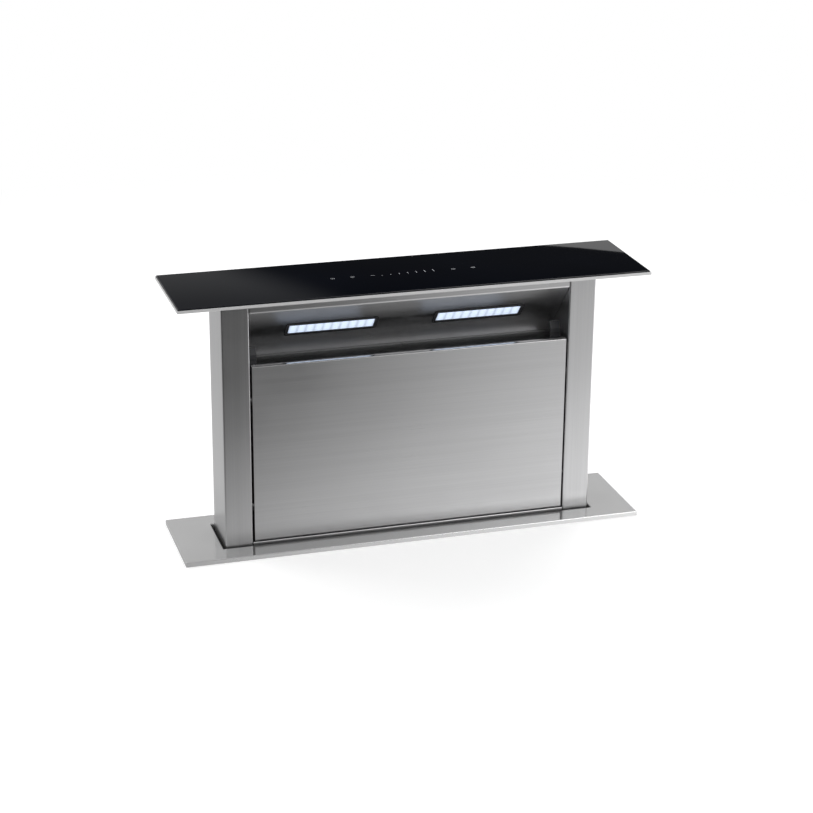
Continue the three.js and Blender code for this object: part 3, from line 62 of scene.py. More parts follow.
GLASS_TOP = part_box("glass_top")[1][2]
PANEL_LOW, PANEL_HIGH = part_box("front_panel")
LEDGE_LOW, LEDGE_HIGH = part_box("panel_ledge")
LENS_LOW, LENS_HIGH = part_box("lamp_lens_right")
CHASSIS_LOW, CHASSIS_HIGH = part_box("chassis_shell")
CLAMP_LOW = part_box("rear_clamp")[0]
FOOT_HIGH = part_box("foot_right")[1]
SCROLL_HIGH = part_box("blower_scroll")[1]
WHEEL_LOW, WHEEL_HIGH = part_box("impeller")
MOTOR_LOW, MOTOR_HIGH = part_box("fan_motor")
LID_LOW, LID_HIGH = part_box("box_lid")


# ------------------------------------------------------------------ settings


class VentSizes(bpy.types.PropertyGroup):
    """Sizes of the fine pieces and edges"""

    sheet_edge: FloatProperty(
        name="Sheet edge",
        description="Radius broken on the edges of thin sheet",
        default=0.25 * MM,
        unit="LENGTH",
    )
    mark_height: FloatProperty(
        name="Mark height",
        description="How far the printed touch marks stand on the glass",
        default=0.06 * MM,
        unit="LENGTH",
    )
    led_count: IntProperty(
        name="LEDs",
        description="Light cells in each lamp",
        default=10,
        min=1,
    )
    screw_radius: FloatProperty(
        name="Screw head",
        description="Radius of the sheet screws' flanged heads",
        default=4.2 * MM,
        unit="LENGTH",
    )
    bolt_radius: FloatProperty(
        name="Bolt head",
        description="Radius of the foot bolts' washers",
        default=8.0 * MM,
        unit="LENGTH",
    )


class VentColours(bpy.types.PropertyGroup):
    """Colours of the main finishes"""

    steel: FloatVectorProperty(
        name="Steel",
        description="Brushed stainless steel",
        subtype="COLOR",
        default=(0.60, 0.60, 0.605),
    )
    trim: FloatVectorProperty(
        name="Trim",
        description="Satin steel of the trim and the tray",
        subtype="COLOR",
        default=(0.66, 0.66, 0.66),
    )
    glass: FloatVectorProperty(
        name="Glass",
        description="Print behind the glass",
        subtype="COLOR",
        default=(0.0010, 0.0017, 0.0042),
    )
    lamp: FloatVectorProperty(
        name="Lamp",
        description="Light of the lamps",
        subtype="COLOR",
        default=(0.62, 0.76, 1.0),
    )
    galvanised: FloatVectorProperty(
        name="Galvanised",
        description="Zinc on the chassis and blower",
        subtype="COLOR",
        default=(0.56, 0.58, 0.60),
    )


def sizes():
    return bpy.context.scene.vent_sizes


def colours():
    return bpy.context.scene.vent_colours


# ------------------------------------------------------------------ node helpers


def add_node(tree, kind, inputs=None, **settings):
    """A node with its settings and its inputs, each a value or a socket to link."""
    made = tree.nodes.new(kind)
    for name, value in settings.items():
        setattr(made, name, value)
    for name, value in (inputs or {}).items():
        if isinstance(value, bpy.types.NodeSocket):
            tree.links.new(value, made.inputs[name])
        else:
            made.inputs[name].default_value = value
    return made


def rgba(colour):
    """A colour, or a plain grey from one number, with its alpha."""
    if isinstance(colour, (int, float)):
        colour = (colour,) * 3
    return (*colour[:3], 1.0)


def ramp(tree, factor, stops):
    """A colour ramp through (place, grey or colour) stops."""
    made = add_node(tree, "ShaderNodeValToRGB", {"Fac": factor})
    elements = made.color_ramp.elements
    while len(elements) < len(stops):
        elements.new(0.5)
    for element, (place, colour) in zip(elements, stops):
        element.position = place
        element.color = rgba(colour)
    return made.outputs["Color"]


def remap(tree, value, given, wanted=(0.0, 1.0), soft=False):
    """A value brought from the given span to the wanted one, and held there past its ends."""
    made = add_node(
        tree,
        "ShaderNodeMapRange",
        {
            "Value": value,
            "From Min": given[0],
            "From Max": given[1],
            "To Min": wanted[0],
            "To Max": wanted[1],
        },
        interpolation_type="SMOOTHSTEP" if soft else "LINEAR",
    )
    return made.outputs["Result"]


def span(tree, value, low, high):
    """A 0 to 1 value brought to low to high."""
    return remap(tree, value, (0.0, 1.0), (low, high))


def tint(tree, factor, dark, light):
    """A colour between a dark and a light one."""
    made = add_node(
        tree,
        "ShaderNodeMix",
        {0: factor, 6: rgba(dark), 7: rgba(light)},
        data_type="RGBA",
    )
    return made.outputs[2]


def reckon(tree, operation, *values):
    """A sum, product or other reckoning of values."""
    made = add_node(tree, "ShaderNodeMath", dict(enumerate(values)), operation=operation)
    return made.outputs[0]


def mix_shaders(tree, factor, first, second):
    """The first shader where the factor is 0, the second where it is 1."""
    return add_node(tree, "ShaderNodeMixShader", {0: factor, 1: first, 2: second}).outputs[0]


def shaded(colour, factor):
    return tuple(channel * factor for channel in colour[:3])


def node_group(name, inputs, outputs):
    """An empty shader node group, with its input and output nodes."""
    group = bpy.data.node_groups.new(name, "ShaderNodeTree")
    for label, kind, value in inputs:
        socket = group.interface.new_socket(label, in_out="INPUT", socket_type=kind)
        socket.default_value = value
    for label, kind in outputs:
        group.interface.new_socket(label, in_out="OUTPUT", socket_type=kind)
    return group, group.nodes.new("NodeGroupInput").outputs, group.nodes.new("NodeGroupOutput")


def brushed_grain():
    """Fine scratches drawn out along one axis, with broader bands between them."""
    name = "brushed_grain"
    if name in bpy.data.node_groups:
        return bpy.data.node_groups[name]
    group, given, result = node_group(
        name,
        [
            ("Vector", "NodeSocketVector", (0, 0, 0)),
            ("Stretch", "NodeSocketVector", (8, 900, 900)),
            ("Depth", "NodeSocketFloat", 0.2),
        ],
        [("Streak", "NodeSocketFloat"), ("Normal", "NodeSocketVector")],
    )
    mapped = add_node(
        group,
        "ShaderNodeMapping",
        {"Vector": given["Vector"], "Scale": given["Stretch"]},
    )
    fine = add_node(
        group,
        "ShaderNodeTexNoise",
        {"Vector": mapped.outputs[0], "Scale": 1.0, "Detail": 4.0, "Roughness": 0.65},
    )
    coarse = add_node(
        group,
        "ShaderNodeTexNoise",
        {"Vector": mapped.outputs[0], "Scale": 0.13, "Detail": 2.0},
    )
    mixed = add_node(
        group,
        "ShaderNodeMix",
        {0: 0.35, 2: fine.outputs["Fac"], 3: coarse.outputs["Fac"]},
    )
    bump = add_node(
        group,
        "ShaderNodeBump",
        {"Strength": given["Depth"], "Distance": 0.05 * MM, "Height": fine.outputs["Fac"]},
    )
    group.links.new(mixed.outputs[0], result.inputs["Streak"])
    group.links.new(bump.outputs["Normal"], result.inputs["Normal"])
    return group


def smudges():
    """Soft clouds of handling and wiping, for roughness and tone."""
    name = "smudges"
    if name in bpy.data.node_groups:
        return bpy.data.node_groups[name]
    group, given, result = node_group(
        name,
        [("Vector", "NodeSocketVector", (0, 0, 0)), ("Scale", "NodeSocketFloat", 9.0)],
        [("Cloud", "NodeSocketFloat")],
    )
    noise = add_node(
        group,
        "ShaderNodeTexNoise",
        {
            "Vector": given["Vector"],
            "Scale": given["Scale"],
            "Detail": 5.0,
            "Roughness": 0.55,
            "Distortion": 0.4,
        },
    )
    cloud = remap(group, noise.outputs["Fac"], (0.32, 0.7), soft=True)
    group.links.new(cloud, result.inputs["Cloud"])
    return group


def moulded_skin():
    """The fine pitted skin of moulded plastic and of cast metal."""
    name = "moulded_skin"
    if name in bpy.data.node_groups:
        return bpy.data.node_groups[name]
    group, given, result = node_group(
        name,
        [
            ("Vector", "NodeSocketVector", (0, 0, 0)),
            ("Scale", "NodeSocketFloat", 900.0),
            ("Depth", "NodeSocketFloat", 0.15),
        ],
        [("Pits", "NodeSocketFloat"), ("Normal", "NodeSocketVector")],
    )
    cells = add_node(
        group,
        "ShaderNodeTexVoronoi",
        {"Vector": given["Vector"], "Scale": given["Scale"]},
        feature="SMOOTH_F1",
    )
    bump = add_node(
        group,
        "ShaderNodeBump",
        {"Strength": given["Depth"], "Distance": 0.2 * MM, "Height": cells.outputs["Distance"]},
    )
    group.links.new(cells.outputs["Distance"], result.inputs["Pits"])
    group.links.new(bump.outputs["Normal"], result.inputs["Normal"])
    return group


def use_group(tree, group, inputs):
    return add_node(tree, "ShaderNodeGroup", inputs, node_tree=group).outputs


def new_material(name):
    """An empty material, with its tree, its Principled shader and the piece's own coordinates."""
    made = bpy.data.materials.new(name)
    made.use_nodes = True
    tree = made.node_tree
    tree.nodes.clear()
    shader = add_node(tree, "ShaderNodeBsdfPrincipled")
    output = add_node(tree, "ShaderNodeOutputMaterial")
    tree.links.new(shader.outputs[0], output.inputs["Surface"])
    place = add_node(tree, "ShaderNodeTexCoord").outputs["Object"]
    return made, tree, shader, place


def feed(tree, shader, **inputs):
    """Sets or links the shader's sockets; an underscore stands for a space."""
    for name, value in inputs.items():
        socket = shader.inputs[name.replace("_", " ")]
        if isinstance(value, bpy.types.NodeSocket):
            tree.links.new(value, socket)
        else:
            socket.default_value = value


# ------------------------------------------------------------------ finishes

# How far a finish's grain is pressed together along x, y and z
ALONG_X = (6.0, 1400.0, 1400.0)
ALONG_Z = (1400.0, 1400.0, 6.0)
CAST_GRAIN = (60.0, 700.0, 60.0)
BAFFLE_GRAIN = (300.0, 300.0, 60.0)
SINTERED_GRAIN = (700.0, 700.0, 700.0)
PLATED_GRAIN = (900.0, 900.0, 900.0)


def brushed_steel(
    name,
    colour,
    stretch,
    roughness,
    depth=0.25,
    contrast=0.14,
    anisotropy=0.6,
    uneven=0.05,
    metallic=1.0,
):
    """Metal brushed along one axis, a little cloudy from wiping."""
    made, tree, shader, place = new_material(name)
    grain = use_group(
        tree,
        brushed_grain(),
        {"Vector": place, "Stretch": stretch, "Depth": depth},
    )
    cloud = use_group(tree, smudges(), {"Vector": place})["Cloud"]
    dark, light = shaded(colour, 1 - contrast), shaded(colour, 1 + contrast)
    rough = reckon(
        tree,
        "ADD",
        span(tree, grain["Streak"], roughness - uneven, roughness + uneven),
        span(tree, cloud, -0.015, 0.025),
    )
    feed(
        tree,
        shader,
        Base_Color=tint(tree, grain["Streak"], dark, light),
        Metallic=metallic,
        Roughness=rough,
        Anisotropic=anisotropy,
        Anisotropic_Rotation=0.25,
        Normal=grain["Normal"],
    )
    return made


def steel():
    return brushed_steel("brushed_stainless", colours().steel, ALONG_X, roughness=0.30)


def post_steel():
    return brushed_steel(
        "post_stainless",
        colours().steel,
        ALONG_Z,
        roughness=0.30,
        anisotropy=0.3,
    )


def canopy_steel():
    return brushed_steel(
        "canopy_stainless",
        colours().steel,
        ALONG_X,
        roughness=0.29,
        depth=0.08,
        anisotropy=0.45,
    )


def fold_steel():
    """The panel's rolled top edge, bright enough to mirror the lamps."""
    return brushed_steel(
        "fold_stainless",
        colours().steel,
        ALONG_X,
        roughness=0.15,
        depth=0.03,
        contrast=0.04,
        anisotropy=0.1,
    )


def satin_steel(name, metallic, roughness):
    """The even finish of the trim and the tray, almost without grain."""
    return brushed_steel(
        name,
        colours().trim,
        ALONG_X,
        roughness=roughness,
        depth=0.01,
        contrast=0.03,
        anisotropy=0.1,
        uneven=0.01,
        metallic=metallic,
    )


def trim_steel():
    return satin_steel("trim_stainless", metallic=0.8, roughness=0.13)


def tray_steel():
    return satin_steel("tray_stainless", metallic=0.4, roughness=0.32)


def ground_steel():
    return brushed_steel("ground_steel", (0.68, 0.68, 0.67), ALONG_X, roughness=0.22, depth=0.1)


def aluminium():
    return brushed_steel(
        "natural_aluminium",
        (0.72, 0.73, 0.74),
        CAST_GRAIN,
        roughness=0.38,
        depth=0.12,
        anisotropy=0.0,
    )


def filter_aluminium_and_throat_shade():
    # Grey well below aluminium's own: partly the darker look of the baffle mesh, partly painted
    # shade for the dark throat behind the canopy
    return brushed_steel(
        "filter_aluminium_and_throat_shade",
        (0.3, 0.3, 0.305),
        BAFFLE_GRAIN,
        roughness=0.45,
        depth=0.15,
        anisotropy=0.0,
    )


def bronze():
    return brushed_steel(
        "sintered_bronze",
        (0.48, 0.30, 0.13),
        SINTERED_GRAIN,
        roughness=0.42,
        anisotropy=0.0,
    )


def galvanised():
    """Zinc-coated sheet with its crystals."""
    made, tree, shader, place = new_material("galvanised_sheet")
    crystals = add_node(
        tree,
        "ShaderNodeTexVoronoi",
        {"Vector": place, "Scale": 210.0, "Randomness": 1.0},
    )
    grey = add_node(tree, "ShaderNodeRGBToBW", {"Color": crystals.outputs["Color"]}).outputs[0]
    cloud = use_group(tree, smudges(), {"Vector": place, "Scale": 14.0})["Cloud"]
    zinc = colours().galvanised
    tone = tint(tree, grey, shaded(zinc, 0.92), shaded(zinc, 1.1))
    rough = reckon(tree, "ADD", span(tree, grey, 0.36, 0.48), span(tree, cloud, -0.03, 0.05))
    feed(tree, shader, Base_Color=tone, Metallic=0.6, Roughness=rough)
    return made


def moulded(name, colour, roughness=0.5, scale=900.0, depth=0.15):
    """Moulded plastic, rubber or painted casting with a fine skin."""
    made, tree, shader, place = new_material(name)
    skin = use_group(tree, moulded_skin(), {"Vector": place, "Scale": scale, "Depth": depth})
    cloud = use_group(tree, smudges(), {"Vector": place, "Scale": 22.0})["Cloud"]
    tone = tint(tree, cloud, shaded(colour, 0.88), shaded(colour, 1.12))
    pitted = span(tree, skin["Pits"], roughness - 0.06, roughness + 0.06)
    rough = reckon(tree, "ADD", pitted, span(tree, cloud, 0.0, 0.06))
    feed(tree, shader, Base_Color=tone, Roughness=rough, Normal=skin["Normal"])
    return made


def black_glass():
    """Toughened glass printed black behind: a deep, clean gloss with the faintest wiping."""
    made, tree, shader, place = new_material("black_glass")
    cloud = use_group(tree, smudges(), {"Vector": place, "Scale": 5.0})["Cloud"]
    tone = tint(tree, cloud, shaded(colours().glass, 0.8), shaded(colours().glass, 1.3))
    rough = span(tree, cloud, 0.018, 0.035)
    feed(tree, shader, Base_Color=tone, Roughness=rough, IOR=1.5)
    return made


def mark_print():
    """Pale ceramic ink of the touch marks, a little uneven."""
    made, tree, shader, place = new_material("mark_print")
    cloud = use_group(tree, smudges(), {"Vector": place, "Scale": 400.0})["Cloud"]
    ink = tint(tree, cloud, (0.26, 0.27, 0.29), (0.36, 0.37, 0.39))
    feed(tree, shader, Base_Color=ink, Roughness=0.4)
    return made


def lamp_glass():
    """A frosted diffuser with a row of light cells behind it."""
    made, tree, shader, place = new_material("lamp_glass")
    pitch = (LENS_HIGH[0] - LENS_LOW[0]) / sizes().led_count
    across = add_node(tree, "ShaderNodeSeparateXYZ", {"Vector": place}).outputs["X"]
    start = reckon(tree, "SUBTRACT", reckon(tree, "ABSOLUTE", across), LENS_LOW[0])
    turn = reckon(tree, "MULTIPLY", start, 2 * math.pi / pitch)
    wave = remap(tree, reckon(tree, "COSINE", turn), (-1.0, 1.0))
    cell = reckon(tree, "SUBTRACT", 1.0, reckon(tree, "POWER", wave, 3.0))
    grit = add_node(
        tree,
        "ShaderNodeTexNoise",
        {"Vector": place, "Scale": 900.0, "Detail": 2.0},
    )
    glow = reckon(tree, "MULTIPLY", cell, span(tree, grit.outputs["Fac"], 0.8, 1.1))
    light = tint(tree, glow, shaded(colours().lamp, 0.5), colours().lamp)
    feed(
        tree,
        shader,
        Base_Color=(0.6, 0.64, 0.7, 1.0),
        Roughness=0.3,
        Emission_Color=light,
        Emission_Strength=0.78,
    )
    return made


def circuit_board():
    colour = (0.02, 0.11, 0.05)
    return moulded("circuit_board", colour, roughness=0.4, scale=300.0, depth=0.05)


def black_plastic():
    return moulded("black_plastic", (0.018, 0.018, 0.02), roughness=0.42)


def nylon():
    return moulded("grey_nylon", (0.26, 0.27, 0.28), scale=500.0)


def rubber():
    colour = (0.012, 0.012, 0.013)
    return moulded("seal_rubber", colour, roughness=0.7, scale=1200.0, depth=0.3)


def zinc_screw():
    return brushed_steel(
        "zinc_screw",
        (0.62, 0.63, 0.6),
        PLATED_GRAIN,
        roughness=0.32,
        depth=0.05,
        anisotropy=0.0,
    )


def motor_paint_and_catch_shade():
    # Real black paint on the motor; on the panel's catches the same black is painted shade
    colour = (0.035, 0.036, 0.04)
    return moulded("motor_paint_and_catch_shade", colour, roughness=0.35, scale=400.0, depth=0.1)


FINISHES = {
    "stainless": steel,
    "post": post_steel,
    "canopy_steel": canopy_steel,
    "fold_steel": fold_steel,
    "trim_steel": trim_steel,
    "tray_steel": tray_steel,
    "black_glass": black_glass,
    "circuit_board": circuit_board,
    "black_plastic": black_plastic,
    "lamp_light": lamp_glass,
    "bright_steel": ground_steel,
    "aluminium": aluminium,
    "filter_aluminium_and_throat_shade": filter_aluminium_and_throat_shade,
    "bronze": bronze,
    "motor_steel": motor_paint_and_catch_shade,
    "grey_plastic": nylon,
    "rubber": rubber,
    "galvanised": galvanised,
    "marks": mark_print,
    "zinc_screw": zinc_screw,
}
_made_finishes = {}


def finish(name):
    """Each finish is made once, when it is first used."""
    if name not in _made_finishes:
        _made_finishes[name] = FINISHES[name]()
    return _made_finishes[name]


# ------------------------------------------------------------------ mesh helpers

SMOOTH_ANGLE = math.radians(32)
FLAT_ANGLE = math.radians(0.5)
NODE_MERGE = 0.002 * MM
SPIN_MERGE = 0.001 * MM
SPARED_BAND = 0.3 * MM
SLOT_OF = {entry["node"]: entry["material_slot"] for entry in frame["record"]["subparts"]}
BODY_OF = {
    node: body
    for body, nodes in frame["record"]["behaviour"]["bodies"].items()
    for node in nodes
}

# Radius in mm broken on a node's edges and the steps it takes; sheet pieces aren't listed
EDGES = {
    "glass_top": (0.7, 3),
    "top_tray": (0.3, 2),
    "touch_board": (0.1, 1),
    "lamp_bezel": (0.35, 2),
    "lamp_lens": (0.3, 2),
    "panel_catch": (0.15, 2),
    "grease_filter": (0.3, 2),
    "filter_bolt": (0.2, 2),
    "cross_shaft": (0.4, 2),
    "pinion": (0.1, 1),
    "rack": (0.1, 1),
    "guide_rail": (0.3, 2),
    "upper_shoe": (0.5, 2),
    "lower_shoe": (0.5, 2),
    "shaft_bush": (0.2, 2),
    "gearbox": (0.8, 2),
    "lift_motor": (0.5, 2),
    "trim_frame": (0.25, 2),
    "slot_seal": (0.3, 2),
    "front_clamp": (0.4, 2),
    "rear_clamp": (0.4, 2),
    "foot": (0.4, 2),
    "inlet_ring": (0.2, 2),
    "blower_scroll": (0.4, 2),
    "impeller": (0.0, 0),
    "fan_motor": (0.8, 2),
    "outlet_adapter": (0.3, 2),
    "outlet_spigot": (0.5, 2),
    "flap_pin": (0.2, 2),
    "front_flap": (0.3, 2),
    "rear_flap": (0.3, 2),
    "electronics_box": (0.8, 2),
    "box_lid": (0.6, 2),
    "control_board": (0.2, 2),
    "cable_gland": (0.4, 2),
}


def link_object(name, data):
    """An object at the origin, in the scene."""
    made = bpy.data.objects.new(name, data)
    bpy.context.scene.collection.objects.link(made)
    return made


def mesh_data(name, mesh, material):
    """Turns a bmesh into a mesh with its material."""
    data = bpy.data.meshes.new(name)
    mesh.to_mesh(data)
    mesh.free()
    data.materials.append(material)
    return data


def piece(name, mesh, body, slot, material=None, replaces=()):
    """Turns a bmesh into a smooth-shaded piece that rides on a body."""
    data = mesh_data(name, mesh, finish(material or slot))
    data.shade_smooth()
    data.set_sharp_from_angle(angle=SMOOTH_ANGLE)
    made = link_object(name, data)
    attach(made, body)
    if replaces:
        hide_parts(*replaces)
    flat = made.modifiers.new("flat_faces", "WEIGHTED_NORMAL")
    flat.keep_sharp = True


def merged_copy(node):
    """A copy of a frame node's mesh, with its flat faces whole."""
    mesh = bmesh.new()
    mesh.from_mesh(frame["nodes"][node].data)
    bmesh.ops.remove_doubles(mesh, verts=mesh.verts, dist=NODE_MERGE)
    bmesh.ops.dissolve_limit(
        mesh,
        angle_limit=FLAT_ANGLE,
        verts=mesh.verts,
        edges=mesh.edges,
    )
    return mesh


def round_edges(mesh, edges, radius, segments):
    bmesh.ops.bevel(
        mesh,
        geom=edges,
        offset=radius,
        offset_type="OFFSET",
        affect="EDGES",
        segments=segments,
        profile=0.5,
        material=-1,
        clamp_overlap=True,
    )


def break_edges(mesh, radius, segments=2, spared=None):
    """Rounds every sharp edge, except those that lie at a spared height."""
    edges = [
        edge
        for edge in mesh.edges
        if edge.is_manifold and edge.calc_face_angle() > SMOOTH_ANGLE
    ]
    if spared is not None:
        edges = [
            edge
            for edge in edges
            if any(abs(v.co.z - spared) > SPARED_BAND for v in edge.verts)
        ]
    round_edges(mesh, edges, radius, segments)


def dress(*nodes, material=None):
    """Pieces of the nodes' own forms with broken edges, in place of the nodes."""
    for node in nodes:
        radius, segments = sizes().sheet_edge, 2
        stem = node.removesuffix("_right").removesuffix("_left")
        if stem in EDGES:
            radius, segments = EDGES[stem]
            radius *= MM
        mesh = merged_copy(node)
        if radius:
            break_edges(mesh, radius, segments)
        piece(f"{node}_finished", mesh, BODY_OF[node], SLOT_OF[node], material, [node])


def dress_pair(stem, material=None):
    dress(f"{stem}_right", f"{stem}_left", material=material)


def slab(mesh, low, high):
    """Adds a box between two corners."""
    low, high = Vector(low), Vector(high)
    place = Matrix.Translation((low + high) / 2) @ Matrix.Diagonal((*(high - low), 1))
    bmesh.ops.create_cube(mesh, size=1, matrix=place)


def turned(mesh, profile, place, axis, steps):
    """Spins a (radius, height) profile, which begins and ends on its axis, through a place."""
    lift = Vector(axis).normalized()
    side = lift.orthogonal()
    points = [mesh.verts.new(Vector(place) + side * r + lift * h) for r, h in profile]
    edges = [mesh.edges.new(pair) for pair in zip(points, points[1:])]
    bmesh.ops.spin(
        mesh,
        geom=points + edges,
        cent=place,
        axis=lift,
        angle=2 * math.pi,
        steps=steps,
        use_merge=True,
    )
    bmesh.ops.remove_doubles(mesh, verts=mesh.verts, dist=SPIN_MERGE)


# A screw's flange and hexagon, as shares of the flange's radius
FLANGE_PROFILE = ((0, -0.1), (1, -0.1), (1, 0.12), (0.72, 0.22), (0, 0.22))
FLANGE_STEPS = 20
HEX_RADIUS = 0.68
HEX_HEIGHT = 0.62
HEX_EDGE = 0.12


def hex_screw(mesh, place, axis, radius):
    """Adds a flanged hexagon head that bears on a face."""
    profile = [(radius * r, radius * h) for r, h in FLANGE_PROFILE]
    turned(mesh, profile, place, axis, FLANGE_STEPS)
    lift = Vector(axis).normalized()
    turn = lift.to_track_quat("Z", "Y").to_matrix().to_4x4()
    flange = FLANGE_PROFILE[-1][1] * radius
    tall = HEX_HEIGHT * radius
    centre = Vector(place) + lift * (flange + tall / 2)
    head = bmesh.ops.create_cone(
        mesh,
        cap_ends=True,
        segments=6,
        radius1=HEX_RADIUS * radius,
        radius2=HEX_RADIUS * radius,
        depth=tall,
        matrix=Matrix.Translation(centre) @ turn,
    )["verts"]
    upper = {v for v in head if (v.co - centre).dot(lift) > 0}
    rim = [edge for edge in mesh.edges if upper.issuperset(edge.verts)]
    round_edges(mesh, rim, HEX_EDGE * radius, 2)


def fixings(name, places, axis, radius):
    """One piece of like screws on the chassis, each on its place and pointing along the axis."""
    mesh = bmesh.new()
    for place in places:
        hex_screw(mesh, place, axis, radius)
    bmesh.ops.recalc_face_normals(mesh, faces=mesh.faces)
    piece(name, mesh, "chassis", "bright_steel", "zinc_screw")


# ------------------------------------------------------------------ top plate

# Touch marks, in mm on the glass
KEYS = ((-92.4, 0.35), (-67.4, 1.2), (63.2, 0.35), (89.1, 1.2))  # place, sign's half width
KEY_RING = (2.0, 2.6)
KEY_STEPS = 32
SIGN_HALF_DEPTH = 1.2
SIGN_HALF_STROKE = 0.3
BAR_START = -29.7
BAR_PITCH = 11.2
BAR_COUNT = 7
BAR_LEAST = 1.6
BAR_MOST = 9.0
BAR_HALF_WIDTH = 0.45
BAR_FOOT = -3.0
TICK_PLACE = -41.0
TICK_HALF_WIDTH = 2.5
TICK_HALF_DEPTH = 0.4


def ring_mark(mesh, x, height):
    """A flat ring, as a spun strip."""
    ends = [mesh.verts.new((x + radius * MM, 0, height)) for radius in KEY_RING]
    bmesh.ops.spin(
        mesh,
        geom=[*ends, mesh.edges.new(ends)],
        cent=(x, 0, height),
        axis=(0, 0, 1),
        angle=2 * math.pi,
        steps=KEY_STEPS,
        use_merge=True,
    )


def bar_mark(mesh, x, half_width, front, back):
    """A bar of ink across x, from front to back, in mm."""
    left, right = (x - half_width) * MM, (x + half_width) * MM
    high = GLASS_TOP + sizes().mark_height
    slab(mesh, (left, front * MM, GLASS_TOP), (right, back * MM, high))


class VENT_OT_top_plate(bpy.types.Operator):
    """Make the glass, its steel tray, the touch board and the printed marks"""

    bl_idname = "vent.top_plate"
    bl_label = "Top Plate"
    bl_options = {"REGISTER", "UNDO"}

    def execute(self, context):
        dress("glass_top")
        dress("top_tray", material="tray_steel")
        dress("touch_board")
        self.make_marks()
        return {"FINISHED"}

    def make_marks(self):
        mesh = bmesh.new()
        for i in range(BAR_COUNT):
            tall = BAR_LEAST + (BAR_MOST - BAR_LEAST) * i / (BAR_COUNT - 1)
            bar_mark(mesh, BAR_START + BAR_PITCH * i, BAR_HALF_WIDTH, BAR_FOOT, BAR_FOOT + tall)
        bar_mark(mesh, TICK_PLACE, TICK_HALF_WIDTH, -TICK_HALF_DEPTH, TICK_HALF_DEPTH)
        for place, arm in KEYS:
            ring_mark(mesh, place * MM, GLASS_TOP + sizes().mark_height)
            bar_mark(mesh, place, SIGN_HALF_STROKE, -SIGN_HALF_DEPTH, SIGN_HALF_DEPTH)
            bar_mark(mesh, place, arm, -SIGN_HALF_STROKE, SIGN_HALF_STROKE)
        piece("touch_marks", mesh, "column", "black_glass", "marks")


# ------------------------------------------------------------------ column


class VENT_OT_column(bpy.types.Operator):
    """Make the posts, the column's back and its lower front"""

    bl_idname = "vent.column"
    bl_label = "Column"
    bl_options = {"REGISTER", "UNDO"}

    def execute(self, context):
        dress_pair("post", "post")
        dress("column_back", "column_lower_front")
        return {"FINISHED"}


FOLD_REACH = 7.0 * MM  # how far back the sheet rolls over along the panel's top
FOLD_RISE = 1.8 * MM
FOLD_STEPS = 16
FACE_SPREAD = 1.2 * MM  # the shown face stands this much nearer each post than the plain solid


class VENT_OT_front_panel(bpy.types.Operator):
    """Make the panel that lifts off its studs, rolled over along its top"""

    bl_idname = "vent.front_panel"
    bl_label = "Front Panel"
    bl_options = {"REGISTER", "UNDO"}

    def execute(self, context):
        seam = PANEL_HIGH[2] - FOLD_RISE
        self.make_face(seam)
        self.make_fold(seam)
        return {"FINISHED"}

    def make_face(self, seam):
        """The node's own form, widened and cut down to where the fold begins."""
        mesh = merged_copy("front_panel")
        for v in mesh.verts:
            v.co.x += math.copysign(FACE_SPREAD, v.co.x)
            v.co.z = min(v.co.z, seam)
        break_edges(mesh, sizes().sheet_edge, spared=seam)
        slot = SLOT_OF["front_panel"]
        piece("front_panel_finished", mesh, "front_panel", slot, replaces=["front_panel"])

    def make_fold(self, seam):
        """One sheet that bends over from the face and runs back as the ledge."""
        front, top = PANEL_LOW[1], PANEL_HIGH[2]
        half = PANEL_HIGH[0] + FACE_SPREAD
        mesh = bmesh.new()
        ends = [mesh.verts.new((x, front, top - FOLD_REACH)) for x in (-half, half)]
        bend = bmesh.ops.spin(
            mesh,
            geom=[*ends, mesh.edges.new(ends)],
            cent=(0, front + FOLD_REACH, top - FOLD_REACH),
            axis=(-1, 0, 0),
            angle=math.pi / 2,
            steps=FOLD_STEPS,
        )["geom_last"]
        last = [item for item in bend if isinstance(item, bmesh.types.BMEdge)]
        for v in bmesh.ops.extrude_edge_only(mesh, edges=last)["geom"]:
            if isinstance(v, bmesh.types.BMVert):
                v.co.y = LEDGE_HIGH[1]
        for v in mesh.verts:
            v.co.z = top - (top - v.co.z) * FOLD_RISE / FOLD_REACH
        if max(mesh.faces, key=lambda face: face.calc_area()).normal.z < 0:
            bmesh.ops.reverse_faces(mesh, faces=mesh.faces)
        bmesh.ops.solidify(mesh, geom=mesh.faces, thickness=LEDGE_HIGH[2] - LEDGE_LOW[2])
        break_edges(mesh, sizes().sheet_edge, spared=seam)
        slot = SLOT_OF["panel_ledge"]
        name = "panel_ledge_finished"
        piece(name, mesh, "front_panel", slot, "fold_steel", ["panel_ledge"])


class VENT_OT_lamp_canopy(bpy.types.Operator):
    """Make the canopy, both lamps and the panel's catches"""

    bl_idname = "vent.lamp_canopy"
    bl_label = "Lamp Canopy"
    bl_options = {"REGISTER", "UNDO"}

    def execute(self, context):
        dress("lamp_canopy")
        dress_pair("lamp_bezel")
        dress_pair("lamp_lens")
        # The catches take the motor's black paint as painted shade, which keeps them dark inside
        # the recess
        dress_pair("panel_catch", "motor_steel")
        return {"FINISHED"}


class VENT_OT_filters(bpy.types.Operator):
    """Make the grease filters, their bolts and the drip tray"""

    bl_idname = "vent.filters"
    bl_label = "Filters"
    bl_options = {"REGISTER", "UNDO"}

    def execute(self, context):
        # The filters' dark grey is partly painted shade for the throat behind the canopy
        dress_pair("grease_filter", "filter_aluminium_and_throat_shade")
        dress_pair("filter_bolt")
        dress("drip_tray")
        return {"FINISHED"}


